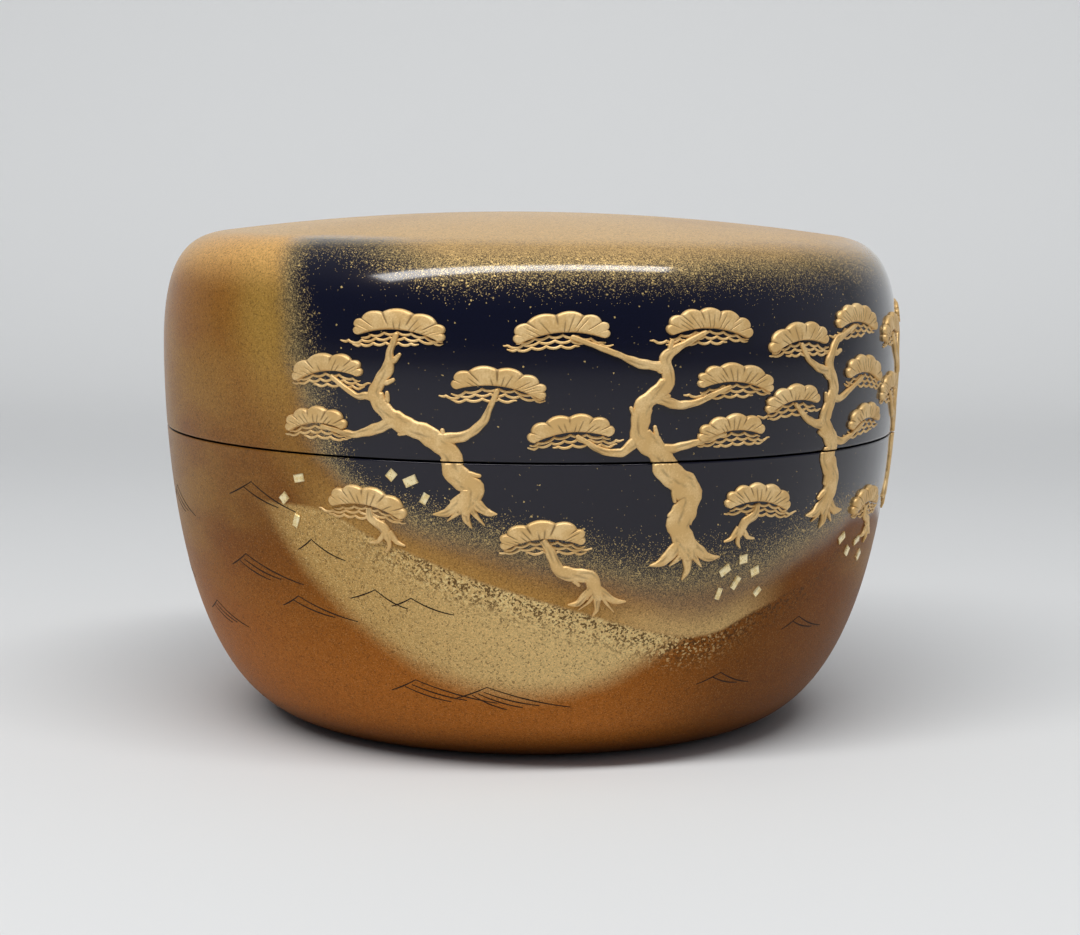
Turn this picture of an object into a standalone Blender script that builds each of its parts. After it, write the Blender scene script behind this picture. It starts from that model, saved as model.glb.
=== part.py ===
"""Flat lacquered tea caddy: a turned body with a standing rim, a lift-off lid, raised pines and cut gold.

Units are metres, +Z is up, the front faces -Y and the origin is the centre of the foot.
"""

import math

import bmesh
import bpy
from mathutils import Vector

# Turned shape
DIAMETER = 0.082
HEIGHT = 0.056
WIDEST_HEIGHT = 0.041
SHOULDER_WIDTH = 0.007
DOME_RISE = 0.0023
FOOT_DIAMETER = 0.052
FOOT_RING_WIDTH = 0.0035
FOOT_RECESS = 0.0007
SEAM_HEIGHT = 0.0322
SEAM_GAP = 0.0003
LID_WALL = 0.0022
RIM_THICKNESS = 0.0016
RIM_HEIGHT = 0.009
RIM_HEADROOM = 0.0005
RIM_CHAMFER = 0.0004
RIM_CLEARANCE = 0.0003
BODY_WALL = 0.0032
FLOOR_HEIGHT = 0.0038

# Fullness of the outline's curves: handle lengths as shares of the stretch they bend, and the foot's slope
DOME_FULLNESS = 0.55
SHOULDER_FULLNESS = 0.83
FLANK_FULLNESS = 0.29
FOOT_FULLNESS = 0.89
FOOT_FLARE = math.radians(11.5)

# Raised and laid gold: the unit is one millimetre of the drawing
DRAWING_UNIT = 0.001
GOLD_GAP = 0.0001
TUFT_RELIEF = 0.0004
TRUNK_RELIEF = 0.00035
FOIL_THICKNESS = 0.00018
DRAWING_CLEARANCE = 0.0003
LOBE_DEPTH = 0.00034
TUFT_ARCH = 0.37
TUFT_WRAP = 0.5

# Facets round the turned shape and along each stretch of its outline
STEPS = 64
DOME_STEPS = 4
SHOULDER_STEPS = 8
FLANK_STEPS = 12
LOBE_POINTS = 3
PRISM_DEPTH = 0.024

# Tufts of the drawing, by the part that carries them: along the wall from the front, above the seam,
# width, rise of the cap, tilt in degrees and number of lobes
TUFTS = {
    "lid_tuft_1": (-20.6, 8.4, 8.4, 1.9, 6, 6),
    "lid_tuft_2": (-12.8, 12.7, 9.8, 2.1, -3, 7),
    "lid_tuft_3": (-22.0, 3.2, 7.6, 1.8, 5, 6),
    "lid_tuft_4": (-2.8, 7.5, 9.4, 2.0, -6, 7),
    "lid_tuft_5": (4.2, 3.1, 8.6, 1.9, 5, 6),
    "lid_tuft_6": (3.2, 12.7, 9.6, 2.1, 4, 7),
    "lid_tuft_7": (18.4, 13.0, 9.8, 2.1, -3, 7),
    "lid_tuft_8": (21.4, 7.7, 9.2, 2.0, -5, 7),
    "lid_tuft_9": (21.0, 2.9, 8.0, 1.8, 4, 6),
    "lid_tuft_10": (29.6, 11.5, 8.8, 2.0, 5, 6),
    "lid_tuft_11": (40.2, 13.0, 9.2, 2.0, -4, 7),
    "lid_tuft_12": (41.8, 7.7, 8.8, 2.0, -6, 6),
    "lid_tuft_13": (28.8, 5.5, 7.8, 1.8, 6, 6),
    "lid_tuft_14": (42.4, 2.8, 7.8, 1.8, 4, 6),
    "lid_tuft_15": (51.4, 11.6, 8.8, 2.0, 4, 7),
    "lid_tuft_16": (62.6, 12.6, 9.0, 2.0, -3, 7),
    "lid_tuft_17": (63.4, 6.8, 8.6, 1.9, -5, 6),
    "lid_tuft_18": (50.6, 5.4, 8.2, 1.9, 5, 6),
    "body_tuft_1": (-16.4, -4.6, 8.8, 2.0, -7, 6),
    "body_tuft_2": (1.6, -7.4, 8.8, 2.0, 4, 7),
    "body_tuft_3": (25.0, -4.4, 8.8, 2.0, -5, 7),
    "body_tuft_4": (45.4, -6.4, 8.2, 1.9, 4, 6),
}

# Trunks and their branches: each ribbon is a list of (along the wall, above the seam, width)
LID_TRUNKS = {
    "lid_trunk_1": [
        [
            (-8.2, -3.0, 2.2), (-7.4, 0.6, 2.1), (-9.6, 2.6, 1.9), (-13.4, 4.2, 1.8),
            (-15.2, 6.6, 1.5), (-13.8, 9.0, 1.2), (-13.6, 10.6, 0.8),
        ],
        [(-13.0, 4.0, 1.3), (-15.6, 2.9, 1.0), (-17.6, 2.4, 0.7)],
        [(-15.0, 6.2, 1.1), (-16.2, 6.3, 0.8), (-17.2, 6.2, 0.6)],
        [(-9.2, 2.4, 1.3), (-6.2, 2.6, 1.0), (-4.2, 4.2, 0.8), (-3.6, 5.6, 0.6)],
    ],
    "lid_trunk_2": [
        [
            (14.8, -3.0, 2.6), (13.4, 0.6, 2.4), (11.0, 3.0, 2.1), (11.4, 5.8, 1.8),
            (13.8, 8.0, 1.5), (13.4, 10.2, 1.2), (15.0, 11.4, 0.8),
        ],
        [(11.2, 2.8, 1.3), (9.2, 1.2, 0.9), (7.4, 1.3, 0.7)],
        [(12.6, 1.4, 1.2), (14.8, 1.5, 0.9), (16.6, 1.9, 0.7)],
        [(12.2, 6.6, 1.2), (15.0, 5.7, 0.9), (16.8, 5.9, 0.7)],
        [(13.6, 9.4, 1.1), (10.8, 9.8, 0.9), (8.6, 10.7, 0.6)],
    ],
    "lid_trunk_3": [
        [
            (34.2, -3.0, 2.3), (35.4, 0.6, 2.1), (33.8, 3.4, 1.8),
            (35.2, 6.4, 1.5), (34.2, 9.2, 1.2), (35.6, 11.4, 0.8),
        ],
        [(34.0, 2.8, 1.1), (32.0, 3.2, 0.9), (30.6, 3.9, 0.6)],
        [(35.2, 1.6, 1.1), (37.0, 0.9, 0.8), (38.4, 1.2, 0.6)],
        [(35.0, 5.6, 1.1), (36.4, 5.4, 0.8), (37.4, 5.8, 0.6)],
        [(34.6, 8.2, 1.1), (32.6, 8.7, 0.8), (30.8, 9.7, 0.6)],
    ],
    "lid_trunk_4": [
        [
            (56.4, -3.0, 2.3), (57.4, 0.6, 2.1), (55.6, 3.4, 1.8),
            (57.4, 6.4, 1.5), (56.4, 9.2, 1.2), (57.6, 11.2, 0.8),
        ],
        [(56.2, 2.2, 1.2), (54.2, 2.4, 0.9), (52.6, 3.5, 0.6)],
        [(56.8, 4.8, 1.1), (58.6, 4.4, 0.8), (59.8, 5.0, 0.6)],
        [(56.8, 7.8, 1.1), (54.8, 8.8, 0.8), (53.2, 9.7, 0.6)],
    ],
}
BODY_TRUNKS = {
    "body_trunk_1": [
        [(-7.8, 2.0, 2.0), (-7.3, -0.6, 2.2), (-5.4, -2.4, 2.3), (-6.0, -4.2, 1.9)],
        [(-5.8, -3.4, 1.3), (-8.0, -4.9, 0.9), (-9.3, -5.1, 0.5)],
        [(-5.7, -3.4, 1.3), (-4.0, -4.7, 0.9), (-3.0, -4.9, 0.5)],
        [(-5.9, -3.8, 1.2), (-6.0, -5.4, 0.8), (-5.5, -6.3, 0.45)],
    ],
    "body_trunk_2": [
        [(12.8, 2.0, 2.4), (14.0, -0.6, 2.6), (16.6, -3.2, 2.8), (15.6, -6.2, 2.6), (16.8, -8.8, 2.2)],
        [(16.2, -7.6, 1.5), (14.2, -9.8, 1.0), (12.8, -10.2, 0.5)],
        [(16.6, -7.8, 1.5), (19.0, -9.6, 1.0), (20.6, -9.7, 0.5)],
        [(16.7, -8.2, 1.4), (17.0, -10.6, 0.9), (16.5, -11.8, 0.45)],
    ],
    "body_trunk_3": [
        [(35.8, 2.0, 2.1), (34.9, -0.6, 2.3), (36.2, -3.0, 2.4), (35.2, -5.6, 2.0)],
        [(35.7, -4.4, 1.3), (33.6, -6.2, 0.9), (32.3, -6.4, 0.5)],
        [(35.4, -4.8, 1.3), (37.4, -6.3, 0.9), (38.8, -6.4, 0.5)],
        [(35.3, -5.0, 1.2), (35.4, -7.0, 0.8), (34.9, -7.9, 0.45)],
    ],
    "body_trunk_4": [
        [(57.8, 2.0, 2.1), (56.9, -0.6, 2.3), (58.4, -3.2, 2.5), (57.6, -6.0, 2.1)],
        [(58.0, -4.8, 1.4), (55.8, -6.6, 1.0), (54.4, -6.8, 0.5)],
        [(57.8, -5.2, 1.4), (60.2, -6.6, 1.0), (61.8, -6.7, 0.5)],
        [(57.6, -5.4, 1.3), (58.0, -7.4, 0.9), (57.5, -8.4, 0.45)],
    ],
    "body_trunk_5": [
        [(2.4, -8.6, 1.0), (3.4, -10.6, 1.3), (6.4, -11.2, 1.5), (7.4, -13.0, 1.3)],
        [(7.0, -12.2, 1.0), (5.4, -13.8, 0.7), (4.4, -14.0, 0.45)],
        [(7.2, -12.4, 1.0), (9.2, -13.7, 0.7), (10.4, -13.8, 0.45)],
        [(7.3, -12.6, 0.9), (7.4, -14.4, 0.6), (7.0, -15.2, 0.4)],
    ],
}

# Cut-gold slips on the body: along the wall, above the seam, turn in degrees, length and width
CUT_GOLD = [
    (-11.6, -1.9, 24, 1.4, 0.9), (-10.2, -3.6, 61, 1.1, 0.7), (-13.6, -1.4, 48, 1.0, 0.9),
    (-24.4, -2.4, 12, 1.3, 0.8), (-26.6, -4.6, 40, 1.1, 0.9), (-25.2, -6.8, 66, 1.4, 0.7),
    (21.6, -11.2, 35, 1.3, 0.8), (23.8, -10.2, 8, 1.0, 0.9), (23.2, -12.6, 58, 1.4, 0.7),
    (25.6, -11.6, 20, 1.1, 0.9), (21.2, -13.6, 74, 1.2, 0.6), (26.4, -13.8, 47, 1.0, 0.7),
    (40.2, -9.6, 30, 1.3, 0.8), (42.2, -11.2, 62, 1.0, 0.9), (44.6, -10.4, 14, 1.4, 0.7),
    (46.4, -12.2, 50, 1.1, 0.8),
]

LACQUERED_WOOD = (0.20, 0.12, 0.05, 1.0)
RAISED_GOLD = (0.55, 0.36, 0.13, 1.0)
CUT_GOLD_COLOUR = (0.72, 0.53, 0.22, 1.0)


def clear_scene():
    for item in list(bpy.data.objects):
        bpy.data.objects.remove(item)


def collection(name):
    made = bpy.data.collections.new(name)
    bpy.context.scene.collection.children.link(made)
    return made


def material(name, colour, metallic, roughness):
    made = bpy.data.materials.new(name)
    made.use_nodes = True
    shader = made.node_tree.nodes["Principled BSDF"]
    shader.inputs["Base Color"].default_value = colour
    shader.inputs["Metallic"].default_value = metallic
    shader.inputs["Roughness"].default_value = roughness
    made.diffuse_color = colour
    return made


def bezier(p0, p1, p2, p3, steps):
    """Points along a cubic curve after its first point."""
    points = []
    for i in range(1, steps + 1):
        t = i / steps
        s = 1 - t
        points.append(s ** 3 * p0 + 3 * s * s * t * p1 + 3 * s * t * t * p2 + t ** 3 * p3)
    return points


def outer_outline():
    """The outside as (radius, height), from the top of the dome down to the edge of the foot."""
    radius = DIAMETER / 2
    edge = radius - SHOULDER_WIDTH
    points = []
    for i in range(DOME_STEPS + 1):
        r = edge * i / DOME_STEPS
        points.append(Vector((r, HEIGHT - DOME_RISE * (r / edge) ** 2)))
    slope = -2 * DOME_RISE / edge
    reach = DOME_FULLNESS * SHOULDER_WIDTH
    top = points[-1]
    widest = Vector((radius, WIDEST_HEIGHT))
    foot = Vector((FOOT_DIAMETER / 2, 0))
    foot_reach = FOOT_FULLNESS * (radius - foot.x)
    points += bezier(
        top,
        top + Vector((reach, reach * slope)),
        widest + Vector((0, SHOULDER_FULLNESS * (top.y - widest.y))),
        widest,
        SHOULDER_STEPS,
    )
    points += bezier(
        widest,
        widest - Vector((0, FLANK_FULLNESS * widest.y)),
        foot + foot_reach * Vector((math.cos(FOOT_FLARE), math.sin(FOOT_FLARE))),
        foot,
        FLANK_STEPS,
    )
    return points


def offset(outline, distance):
    """An outline moved square to itself, outwards for a positive distance."""
    moved = []
    for i, point in enumerate(outline):
        before = outline[max(i - 1, 0)]
        after = outline[min(i + 1, len(outline) - 1)]
        way = (after - before).normalized()
        moved.append(point + distance * Vector((-way.y, way.x)))
    return moved


def crossing(outline, height):
    """The point where a falling outline passes a height."""
    for upper, lower in zip(outline, outline[1:]):
        if upper.y >= height > lower.y:
            return upper.lerp(lower, (upper.y - height) / (upper.y - lower.y))
    return outline[-1]


def band(outline, top, bottom):
    """The stretch of a falling outline between two heights, with both ends."""
    inner = [p for p in outline if bottom < p.y < top]
    return [crossing(outline, top)] + inner + [crossing(outline, bottom)]


def turned(name, outline, closed, steps, target):
    """A shape turned about Z from (radius, height) points, through the given number of facets."""
    mesh = bpy.data.meshes.new(name)
    edges = [(i, i + 1) for i in range(len(outline) - 1)]
    if closed:
        edges.append((len(outline) - 1, 0))
    mesh.from_pydata([(p.x, 0, p.y) for p in outline], edges, [])
    made = bpy.data.objects.new(name, mesh)
    target.objects.link(made)
    screw = made.modifiers.new("turn", "SCREW")
    screw.axis = "Z"
    screw.angle = 2 * math.pi * steps / STEPS
    screw.steps = steps
    screw.render_steps = steps
    screw.use_merge_vertices = steps == STEPS
    screw.merge_threshold = 0.00001
    return made


def solid(holder, target):
    """The finished shape of a helper object as a plain closed mesh object, in the helper's place."""
    graph = bpy.context.evaluated_depsgraph_get()
    mesh = bpy.data.meshes.new_from_object(holder.evaluated_get(graph))
    name = holder.name
    bpy.data.objects.remove(holder)
    work = bmesh.new()
    work.from_mesh(mesh)
    bmesh.ops.remove_doubles(work, verts=work.verts, dist=0.000001)
    open_edges = [edge for edge in work.edges if edge.is_boundary]
    if open_edges:
        bmesh.ops.holes_fill(work, edges=open_edges, sides=0)
    bmesh.ops.recalc_face_normals(work, faces=work.faces)
    work.to_mesh(mesh)
    work.free()
    made = bpy.data.objects.new(name, mesh)
    target.objects.link(made)
    return made


def prism(name, outline, depth, target):
    """A straight prism of a closed flat outline, in its own XY plane."""
    curve = bpy.data.curves.new(name, "CURVE")
    curve.dimensions = "2D"
    curve.fill_mode = "BOTH"
    curve.extrude = depth / 2
    spline = curve.splines.new("POLY")
    spline.points.add(len(outline) - 1)
    for point, place in zip(spline.points, outline):
        point.co = (place[0], place[1], 0, 1)
    spline.use_cyclic_u = True
    holder = bpy.data.objects.new(name, curve)
    target.objects.link(holder)
    return solid(holder, target)


def wall_piece(name, outer, thickness, heights, along, reach, target):
    """A piece of a thin turned shell just clear of the wall, with the wall's own facets, round one place."""
    near = band(offset(outer, GOLD_GAP), *heights)
    far = band(offset(outer, GOLD_GAP + thickness), *heights)
    facet = 2 * math.pi / STEPS
    angle = along / (DIAMETER / 2) - math.pi / 2
    spread = reach / (DIAMETER / 2) + facet
    first = math.floor((angle - spread) / facet)
    last = math.ceil((angle + spread) / facet)
    made = solid(turned(name, far + near[::-1], True, last - first, target), target)
    made.rotation_euler = (0, 0, first * facet)
    return made


def face_wall(item, along, above):
    """Stands a prism against the wall: its X runs along the wall, its Y up and its Z straight out."""
    angle = along / (DIAMETER / 2)
    item.rotation_euler = (math.pi / 2, 0, angle)
    item.location = (
        DIAMETER / 2 * math.sin(angle),
        -DIAMETER / 2 * math.cos(angle),
        SEAM_HEIGHT + above,
    )


def flat(along, centre):
    """A place along the wall as a distance beside a prism that stands at centre."""
    radius = DIAMETER / 2
    return radius * math.sin((along - centre) / radius)


def tuft_outline(width, rise, tilt, lobes, depth, grow):
    """A pine tuft seen flat: a scalloped cap over an arched underside, about the middle of its cap."""
    half = width / 2 + grow
    tall = rise + grow
    span = math.pi + 2 * TUFT_WRAP
    count = lobes * LOBE_POINTS
    points = []
    for i in range(count + 1):
        share = i / count
        angle = math.pi + TUFT_WRAP - span * share
        place = Vector((half * math.cos(angle), tall * math.sin(angle)))
        out = Vector((tall * math.cos(angle), half * math.sin(angle))).normalized()
        points.append(place - depth * (1 - abs(math.sin(math.pi * lobes * share))) * out)
    left, right = points[0], points[-1]
    for share in (0.75, 0.5, 0.25):
        arch = TUFT_ARCH * rise * 4 * share * (1 - share) - grow
        points.append(left.lerp(right, share) + Vector((0, arch)))
    turn = math.radians(tilt)
    return [
        (p.x * math.cos(turn) - p.y * math.sin(turn), p.x * math.sin(turn) + p.y * math.cos(turn))
        for p in points
    ]


def ribbon_outline(line, centre):
    """The outline of a ribbon along a line of (along, above, width), with blunt rounded ends."""
    places = [Vector((flat(u * DRAWING_UNIT, centre), v * DRAWING_UNIT)) for u, v, _ in line]
    halves = [w * DRAWING_UNIT / 2 for _, _, w in line]
    left, right = [], []
    for i, place in enumerate(places):
        way = (places[min(i + 1, len(places) - 1)] - places[max(i - 1, 0)]).normalized()
        side = Vector((-way.y, way.x)) * halves[i]
        left.append(place + side)
        right.append(place - side)
    way = (places[-1] - places[-2]).normalized()
    tip = places[-1] + way * halves[-1]
    return left + [tip] + right[::-1]


def slip_outline(length, width, turn):
    """A rectangle turned in its plane."""
    angle = math.radians(turn)
    corners = [(-1, -1), (1, -1), (1, 1), (-1, 1)]
    return [
        (
            (x * length * math.cos(angle) - y * width * math.sin(angle)) / 2,
            (x * length * math.sin(angle) + y * width * math.cos(angle)) / 2,
        )
        for x, y in corners
    ]


def boolean(item, operation, other):
    step = item.modifiers.new(operation.lower(), "BOOLEAN")
    step.operation = operation
    step.solver = "EXACT"
    if isinstance(other, bpy.types.Collection):
        step.operand_type = "COLLECTION"
        step.collection = other
    else:
        step.object = other


def hide(item):
    item.hide_render = True
    item.display_type = "WIRE"


def main():
    clear_scene()
    parts = collection("tea_caddy")
    helpers = collection("helpers")
    lacquer = material("lacquered_wood", LACQUERED_WOOD, 0.0, 0.2)
    raised = material("raised_gold", RAISED_GOLD, 1.0, 0.4)
    foil = material("cut_gold", CUT_GOLD_COLOUR, 1.0, 0.25)

    outer = outer_outline()
    lip_height = SEAM_HEIGHT + SEAM_GAP
    lid_outer = [p for p in outer if p.y > lip_height] + [crossing(outer, lip_height)]
    body_outer = [crossing(outer, SEAM_HEIGHT)] + [p for p in outer if p.y < SEAM_HEIGHT]
    lid_inner = offset(lid_outer, -LID_WALL)
    rim_top = SEAM_HEIGHT + RIM_HEIGHT
    bore = min(lid_outer[-1].x - LID_WALL, crossing(lid_inner, rim_top + RIM_HEADROOM).x)
    rim_outer = bore - RIM_CLEARANCE
    rim_inner = rim_outer - RIM_THICKNESS

    # The lid's inside follows its outside, and is bored straight where the rim goes up
    ceiling = [Vector((min(p.x, bore), p.y)) for p in lid_inner[:-1] if p.y > lip_height]
    ceiling[0].x = 0
    lid = turned(
        "lid",
        lid_outer + [Vector((bore, lip_height))] + ceiling[::-1],
        False,
        STEPS,
        parts,
    )
    lid.data.materials.append(lacquer)

    # The body's inside follows its outside down to a level floor, under a straight standing rim
    inside = [
        Vector((min(p.x, rim_inner), max(p.y, FLOOR_HEIGHT)))
        for p in offset(body_outer, -BODY_WALL)[:-1]
        if p.y < SEAM_HEIGHT
    ]
    ring_inner = FOOT_DIAMETER / 2 - FOOT_RING_WIDTH
    body = turned(
        "body",
        [Vector((0, FLOOR_HEIGHT))]
        + inside[::-1]
        + [
            Vector((rim_inner, rim_top - RIM_CHAMFER)),
            Vector((rim_inner + RIM_CHAMFER, rim_top)),
            Vector((rim_outer - RIM_CHAMFER, rim_top)),
            Vector((rim_outer, rim_top - RIM_CHAMFER)),
            Vector((rim_outer, SEAM_HEIGHT)),
        ]
        + body_outer
        + [
            Vector((ring_inner, 0)),
            Vector((ring_inner - FOOT_RECESS, FOOT_RECESS)),
            Vector((0, FOOT_RECESS)),
        ],
        False,
        STEPS,
        parts,
    )
    body.data.materials.append(lacquer)

    # Both parts and all they carry hang on empties on the turning axis
    axes = {}
    for part, item in (("lid", lid), ("body", body)):
        axes[part] = bpy.data.objects.new(part + "_axis", None)
        parts.objects.link(axes[part])
        item.parent = axes[part]
    limits = {"lid": (HEIGHT - DOME_RISE, lip_height), "body": (SEAM_HEIGHT, FLOOR_HEIGHT)}

    cuts = []

    def lay(item, part, along, heights, reach, thickness, finish):
        """Makes the skin of the wall that a prism is trimmed to, and hangs the prism on its part."""
        top = min(limits[part][0], SEAM_HEIGHT + max(heights) + DRAWING_UNIT)
        bottom = max(limits[part][1], SEAM_HEIGHT + min(heights) - DRAWING_UNIT)
        skin = wall_piece(item.name + "_skin", outer, thickness, (top, bottom), along, reach, helpers)
        hide(skin)
        cuts.append((item, "INTERSECT", skin))
        item.data.materials.append(finish)
        item.parent = axes[part]

    trunks = {"lid": LID_TRUNKS, "body": BODY_TRUNKS}
    rooms = {}
    for part in trunks:
        for name, ribbons in trunks[part].items():
            centre = ribbons[0][0][0] * DRAWING_UNIT
            trunk = prism(name, ribbon_outline(ribbons[0], centre), PRISM_DEPTH, parts)
            face_wall(trunk, centre, 0)
            branches = collection(name + "_branches")
            rooms[name] = collection(name + "_room")
            for i, line in enumerate(ribbons[1:]):
                branch = prism(
                    f"{name}_branch_{i}",
                    ribbon_outline(line, centre),
                    PRISM_DEPTH * (0.8 - 0.05 * i),
                    branches,
                )
                face_wall(branch, centre, 0)
                hide(branch)
            cuts.append((trunk, "UNION", branches))
            places = [point for line in ribbons for point in line]
            heights = [v * DRAWING_UNIT for _, v, _ in places]
            reach = max(abs(u * DRAWING_UNIT - centre) for u, _, _ in places)
            lay(trunk, part, centre, heights, reach, TRUNK_RELIEF, raised)
            cuts.append((trunk, "DIFFERENCE", rooms[name]))

    for name, (u, v, width, rise, tilt, lobes) in TUFTS.items():
        part = name.split("_")[0]
        along, above = u * DRAWING_UNIT, v * DRAWING_UNIT
        size = (width * DRAWING_UNIT, rise * DRAWING_UNIT, tilt, lobes)
        outline = tuft_outline(*size, LOBE_DEPTH, 0)
        tuft = prism(name, outline, PRISM_DEPTH, parts)
        face_wall(tuft, along, above)
        lay(tuft, part, along, [above + y for _, y in outline], size[0], TUFT_RELIEF, raised)
        nearest = min(trunks[part], key=lambda n: abs(trunks[part][n][0][0][0] - u))
        room = prism(
            name + "_room",
            tuft_outline(*size, 0, DRAWING_CLEARANCE),
            PRISM_DEPTH * 0.9,
            rooms[nearest],
        )
        face_wall(room, along, above)
        hide(room)

    for i, (u, v, turn, length, width) in enumerate(CUT_GOLD):
        along, above = u * DRAWING_UNIT, v * DRAWING_UNIT
        outline = slip_outline(length * DRAWING_UNIT, width * DRAWING_UNIT, turn)
        slip = prism(f"cut_gold_{i + 1}", outline, PRISM_DEPTH, parts)
        face_wall(slip, along, above)
        lay(slip, "body", along, [above + y for _, y in outline], length * DRAWING_UNIT, FOIL_THICKNESS, foil)

    # All pieces are in place before any is trimmed
    for item, operation, other in cuts:
        if not isinstance(other, bpy.types.Collection) or other.objects:
            boolean(item, operation, other)


main()
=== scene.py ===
# %% [markdown]
# # A flat tea caddy in black and gold lacquer
#
# The real caddy is two thin wooden turnings, a cup and a lid, under many coats of black lacquer. Gold
# powder is sprinkled on the wet lacquer, pines are built up in relief on it, and a clear coat is
# polished over the ground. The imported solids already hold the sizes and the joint, so this script only
# dresses them: finer surfaces over the same shapes, and a finish for each surface.

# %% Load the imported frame
import math
import random
from bisect import bisect_left

import bmesh
import bpy
from mathutils import Matrix, Vector


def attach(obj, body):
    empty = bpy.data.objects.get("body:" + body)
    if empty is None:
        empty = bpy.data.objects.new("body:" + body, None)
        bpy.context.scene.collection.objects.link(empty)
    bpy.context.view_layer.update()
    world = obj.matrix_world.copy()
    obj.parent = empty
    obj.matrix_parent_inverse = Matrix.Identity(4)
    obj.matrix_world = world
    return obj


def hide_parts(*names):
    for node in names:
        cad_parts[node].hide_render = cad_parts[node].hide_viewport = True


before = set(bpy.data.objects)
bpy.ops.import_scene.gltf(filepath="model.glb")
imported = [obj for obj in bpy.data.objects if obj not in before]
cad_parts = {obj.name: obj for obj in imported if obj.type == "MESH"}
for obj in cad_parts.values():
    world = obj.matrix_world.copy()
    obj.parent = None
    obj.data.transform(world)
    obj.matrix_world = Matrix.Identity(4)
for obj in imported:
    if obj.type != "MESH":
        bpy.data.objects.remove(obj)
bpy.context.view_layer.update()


# %% [markdown]
# ## The camera
#
# The caddy is seen from a little above its lid, close by, so the lid's top is a thin ellipse and the
# foot curves away. A camera could be aimed with a Track To constraint. Here its axes are written out
# from a pitch and a small roll, because the seam in the view isn't quite level.

# %% Camera
VIEW_PLACE = Vector((0.00123, -0.2604, 0.0586))
VIEW_PITCH = 0.1207
VIEW_ROLL = 0.0101
SENSOR_WIDTH = 36.0
LENS = 76.67
NEAREST = 0.01


def put(name, data):
    """A new object in the scene."""
    made = bpy.data.objects.new(name, data)
    bpy.context.scene.collection.objects.link(made)
    return made


forward = Vector((0, math.cos(VIEW_PITCH), -math.sin(VIEW_PITCH)))
level = Vector((1, 0, 0))
upward = level.cross(forward)
view_right = math.cos(VIEW_ROLL) * level + math.sin(VIEW_ROLL) * upward
view_up = math.cos(VIEW_ROLL) * upward - math.sin(VIEW_ROLL) * level
lens = bpy.data.cameras.new("view")
lens.sensor_width = SENSOR_WIDTH
lens.lens = LENS
lens.clip_start = NEAREST
camera = put("view", lens)
view_axes = Matrix((view_right, view_up, -forward)).transposed().to_4x4()
camera.matrix_world = Matrix.Translation(VIEW_PLACE) @ view_axes
bpy.context.scene.camera = camera
bpy.context.scene.view_settings.view_transform = "Standard"
print("camera at", tuple(round(c, 4) for c in camera.location), "lens", LENS)

# %% [markdown]
# ## Arithmetic on sockets
#
# A finish is a sum over a surface: this much gold here, that much there. Nodes can be added and linked
# one by one, but a long formula gets lost that way. This small class wraps an output socket. With it,
# `1 - mask` or `red * 0.4` adds the Math node by itself, and its node method adds any other node.


# %% Sockets as values
class Wire:
    """An output socket. Arithmetic on it adds nodes, and node() adds any other kind of node."""

    def __init__(self, tree, socket=None):
        self.tree = tree
        self.socket = socket

    def node(self, kind, settings=None, sockets=None, output=0):
        made = self.tree.nodes.new(kind)
        for name, value in (settings or {}).items():
            if name == "points":
                curve = made.mapping.curves[0]
                curve.points[0].location = value[0]
                curve.points[1].location = value[-1]
                for place in value[1:-1]:
                    curve.points.new(*place)
                for point in curve.points:
                    point.handle_type = "AUTO_CLAMPED"
                made.mapping.update()
            else:
                setattr(made, name, value)
        for name, value in (sockets or {}).items():
            if isinstance(value, Wire):
                self.tree.links.new(value.socket, made.inputs[name])
            else:
                made.inputs[name].default_value = value
        return Wire(self.tree, made.outputs[output])

    def math(self, operation, *values):
        if self.socket.type == "VALUE":
            return self.node("ShaderNodeMath", {"operation": operation}, dict(enumerate(values)))
        wide = [v if isinstance(v, (Wire, tuple)) else (v, v, v) for v in values]
        output = "Value" if operation == "DOT_PRODUCT" else "Vector"
        return self.node("ShaderNodeVectorMath", {"operation": operation}, dict(enumerate(wide)), output)

    def __add__(self, other):
        return self.math("ADD", self, other)

    def __sub__(self, other):
        return self.math("SUBTRACT", self, other)

    def __mul__(self, other):
        return self.math("MULTIPLY", self, other)

    def __truediv__(self, other):
        return self.math("DIVIDE", self, other)

    def __pow__(self, other):
        return self.math("POWER", self, other)

    def __lt__(self, other):
        return self.math("LESS_THAN", self, other)

    def __gt__(self, other):
        return self.math("GREATER_THAN", self, other)

    def __radd__(self, other):
        return self.math("ADD", other, self)

    def __rsub__(self, other):
        return self.math("SUBTRACT", other, self)

    def __rmul__(self, other):
        return self.math("MULTIPLY", other, self)

    def __rtruediv__(self, other):
        return self.math("DIVIDE", other, self)

    def step(self, low, high):
        """A smooth step from 0 at low to 1 at high, which may run either way and may be wires."""
        return self.node(
            "ShaderNodeMapRange",
            {"interpolation_type": "SMOOTHSTEP"},
            {"Value": self, "From Min": low, "From Max": high},
        )

    def blend(self, first, second):
        """A colour between two, with this value as the share of the second."""
        return self.node(
            "ShaderNodeMix", {"data_type": "RGBA"}, {0: self, 6: first, 7: second}, output=2
        )

    def into(self, shader, name):
        self.tree.links.new(self.socket, shader.inputs[name])


def finish(name, constants):
    """A new material's shader, with the numbers that are the same all over set on its own sockets."""
    made = bpy.data.materials.new(name)
    made.use_nodes = True
    shader = made.node_tree.nodes["Principled BSDF"]
    for socket, value in constants.items():
        shader.inputs[socket].default_value = value
    return made, shader, Wire(made.node_tree)


print("socket class ready")

# %% [markdown]
# ## Floor and backdrop
#
# A photographer's sweep is one sheet that runs along the table and curves up behind the object, so no
# corner shows. It could be a plane with a bend, but a short outline drawn sideways is simpler, with the
# floor carried on at both its sides.

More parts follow.
